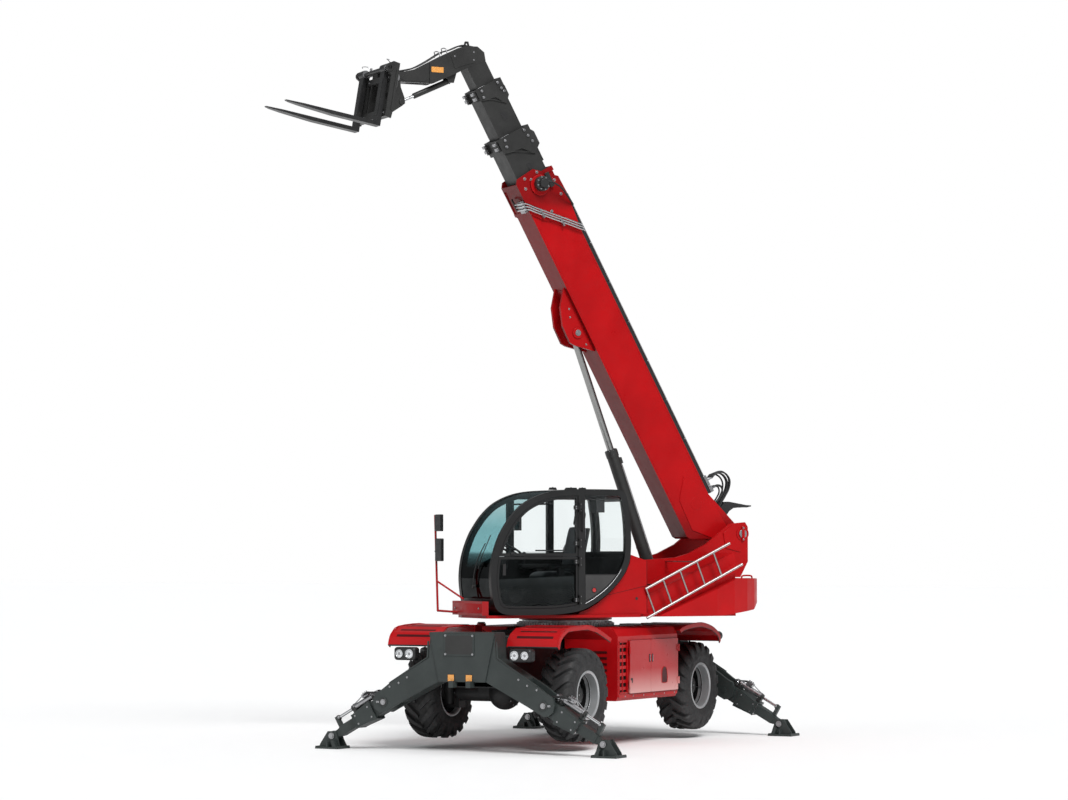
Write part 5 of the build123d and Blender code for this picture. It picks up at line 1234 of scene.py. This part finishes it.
# nose: hoses, clamps, reflector
P = Piece("nose_details", "boom_stage_4", "steel", 0.0012)
m = TU
for s in (-1, 1):
    y = -0.10 + s * 0.112
    P.prism([(1.30, 8.74), (1.28, 8.90), (1.45, 8.90), (1.66, 8.80), (1.60, 8.64), (1.44, 8.70)], min(y, y + s * 0.006), max(y, y + s * 0.006), "y", m_char, m)
    y2 = -0.10 + s * 0.098
    P.prism([(1.98, 8.66), (2.30, 8.52), (2.36, 8.47), (2.30, 8.44), (2.02, 8.45), (1.94, 8.50)], min(y2, y2 + s * 0.005), max(y2, y2 + s * 0.005), "y", m_char, m)
    P.cyl((2.44, y2, 8.47), (2.44, y2 + s * 0.010, 8.47), 0.070, m_char, m, 32, 0.003)
    for x, z in ((1.33, 8.87), (1.60, 8.80), (1.33, 8.77)):
        P.hexa((x, y + s * 0.006, z), (0, s, 0), 0.009, 0.009, m_steel, m)
P.box(1.76, 1.93, 0.0115, 0.0165, 8.575, 8.645, m_amber, m)
for y in (-0.16, -0.12, -0.08):
    P.tube([(1.30, y, 8.955), (1.46, y, 8.962), (1.62, y, 8.895), (1.76, y + 0.01, 8.845), (1.95, y + 0.01, 8.725), (2.12, y, 8.632), (2.26, y, 8.590), (2.38, y, 8.566)], 0.0095, m_rubber, m, 8, 5)
P.tube([(1.70, -0.18, 8.84), (1.70, -0.17, 8.885), (1.72, -0.14, 8.905), (1.72, -0.06, 8.905), (1.70, -0.03, 8.885), (1.70, -0.02, 8.84)], 0.007, m_steel, m, 8, 4)
P.tube([(1.80, -0.18, 8.79), (1.80, -0.17, 8.835), (1.82, -0.14, 8.855), (1.82, -0.06, 8.855), (1.80, -0.03, 8.835), (1.80, -0.02, 8.79)], 0.007, m_steel, m, 8, 4)
P.done()

P = Piece("lift_gland", "lift_barrel", "steel", 0.0)
ex, ez = -2.45 + 3.39 * math.cos(R(61)) + 0.74 * math.sin(R(61)), 2.69 + 3.39 * math.sin(R(61)) - 0.74 * math.cos(R(61))
LA = math.atan2(ez - 1.95, ex + 1.40)
LI = TU @ Matrix.Translation((-1.40, -0.10, 1.95)) @ Matrix.Rotation(-LA, 4, "Y")
xz = Matrix.Rotation(R(90), 4, "Y")
P.lathe([(1.945, 0.050), (1.951, 0.062), (1.951, 0.078), (1.946, 0.084), (1.90, 0.0855), (1.895, 0.084)], m_char, LI @ xz, 40, closed=True)
P.lathe([(1.952, 0.0462), (1.960, 0.0500), (1.960, 0.058), (1.951, 0.062)], m_seal, LI @ xz, 40, closed=True)
for k in range(8):
    a = R(45 * k)
    P.hexa((1.951, 0.070 * math.cos(a), 0.070 * math.sin(a)), (1, 0, 0), 0.006, 0.008, m_steel, LI)
P.tube([(0.30, 0.0, 0.084), (0.60, 0.0, 0.090), (1.40, 0.0, 0.090), (1.70, 0.0, 0.088), (1.78, 0.0, 0.080)], 0.012, m_steel, LI, 10, 3)
P.box(1.74, 1.82, -0.024, 0.024, 0.074, 0.108, m_char, LI)
P.box(0.22, 0.34, -0.035, 0.035, 0.072, 0.115, m_char, LI)
for x in (0.6, 1.2):
    P.lathe([(x, 0.0785), (x, 0.081), (x + 0.03, 0.081), (x + 0.03, 0.0785)], m_char, LI @ xz, 40, closed=True)
P.done()

# ------------------------------------------------------------------ carriage and forks
P = Piece("carriage_details", "fork_carriage", "steel", 0.0014)
m = CA
for s in (-1, 1):
    y = -0.10 + s * 0.140
    P.cyl((0, y, 0), (0, y + s * 0.014, 0), 0.052, m_steel, m, 28, 0.003)
    P.hexa((0, y + s * 0.014, 0), (0, s, 0), 0.022, 0.012, m_steel, m)
    P.cyl((-0.130, y, -0.292), (-0.130, y + s * 0.012, -0.292), 0.036, m_char, m, 24, 0.003)
    P.prism([(0.06, -0.06), (0.12, -0.06), (0.14, -0.40), (0.06, -0.30)], min(y, y + s * 0.004), max(y, y + s * 0.004), "y", m_char, m)
    ye = -0.10 + s * 0.475
    a, b = sorted((ye, ye + s * 0.012))
    P.cyl((0.242, a, 0.03), (0.242, b, 0.03), 0.052, m_char, m, 28, 0.003)
    P.box(0.128, 0.146, a, b, -0.50, 0.02, m_char, m)
    # locking pins with bright wire handles on top
    P.cyl((0.17, -0.10 + s * 0.30, 0.095), (0.17, -0.10 + s * 0.30, 0.135), 0.016, m_steel, m, 14)
    P.tube([(0.17, -0.10 + s * 0.30, 0.128), (0.22, -0.10 + s * 0.33, 0.146), (0.26, -0.10 + s * 0.38, 0.142), (0.24, -0.10 + s * 0.42, 0.134)], 0.0055, m_chrome, m, 8, 5)
for z in (-0.08, -0.54):
    for y in (-0.50, -0.30, 0.10, 0.30):
        P.hexa((0.206, y, z), (1, 0, 0), 0.012, 0.008, m_steel, m)
P.box(0.118, 0.132, -0.54, 0.34, -0.34, -0.25, m_char, m)
P.tube([(0.02, -0.24, 0.02), (-0.02, -0.27, -0.06), (0.0, -0.29, -0.18), (0.06, -0.27, -0.27), (0.12, -0.22, -0.30)], 0.0105, m_rubber, m, 8, 6)
P.tube([(0.02, 0.04, 0.02), (-0.02, 0.07, -0.06), (0.0, 0.09, -0.18), (0.06, 0.07, -0.27), (0.12, 0.02, -0.30)], 0.0105, m_rubber, m, 8, 6)
P.done()
for nm, yc in (("fork_left", 0.23), ("fork_right", -0.43)):
    P = Piece(nm + "_wear", nm, "steel", 0.001)
    P.box(0.2705, 0.2745, yc - 0.05, yc + 0.05, -0.58, -0.10, m_fork, m)
    P.cyl((0.242, yc - 0.0665, 0.03), (0.242, yc - 0.065, 0.03), 0.050, m_steel, m, 28)
    P.cyl((0.242, yc + 0.065, 0.03), (0.242, yc + 0.0665, 0.03), 0.050, m_steel, m, 28)
    P.done()

# ------------------------------------------------------------------ floor and light
def floor_mat():
    g = G("studio_floor")
    g.color(g.mix(g.noise(0.6, 4), (0.955, 0.955, 0.955), (0.97, 0.97, 0.97)))
    g.rough(g.rng(g.noise(3, 4), 0.3, 0.7, 0.55, 0.65))
    return g.m


me = bpy.data.meshes.new("floor")
me.from_pydata([(-160, -160, -0.001), (160, -160, -0.001), (160, 160, -0.001), (-160, 160, -0.001)], [], [(0, 1, 2, 3)])
floor = bpy.data.objects.new("floor", me)
me.materials.append(floor_mat())
bpy.context.scene.collection.objects.link(floor)

world = bpy.data.worlds.new("studio")
bpy.context.scene.world = world
world.use_nodes = True
wt = world.node_tree
soft = wt.nodes["Background"]
soft.inputs[0].default_value = (0.96, 0.98, 1.0, 1)
soft.inputs[1].default_value = 0.30
plain = wt.nodes.new("ShaderNodeBackground")
plain.inputs[0].default_value = (1.0, 1.0, 1.0, 1)
plain.inputs[1].default_value = 1.0
path = wt.nodes.new("ShaderNodeLightPath")
both = wt.nodes.new("ShaderNodeMixShader")
wt.links.new(path.outputs["Is Camera Ray"], both.inputs[0])
wt.links.new(soft.outputs[0], both.inputs[1])
wt.links.new(plain.outputs[0], both.inputs[2])
wt.links.new(both.outputs[0], wt.nodes["World Output"].inputs["Surface"])


def sun(name, frm, strength, spread):
    d = bpy.data.lights.new(name, "SUN")
    d.energy, d.angle = strength, R(spread)
    o = bpy.data.objects.new(name, d)
    o.rotation_euler = (-Vector(frm)).to_track_quat("-Z", "Y").to_euler()
    bpy.context.scene.collection.objects.link(o)


sun("key", (0.50, 0.62, 0.78), 3.0, 24)
sun("top", (-0.25, 0.10, 1.0), 0.55, 50)
sun("fill", (0.85, -0.45, 0.30), 0.35, 40)

scn = bpy.context.scene
scn.view_settings.view_transform = "Standard"
scn.view_settings.look = "None"
scn.view_settings.exposure = 0.0
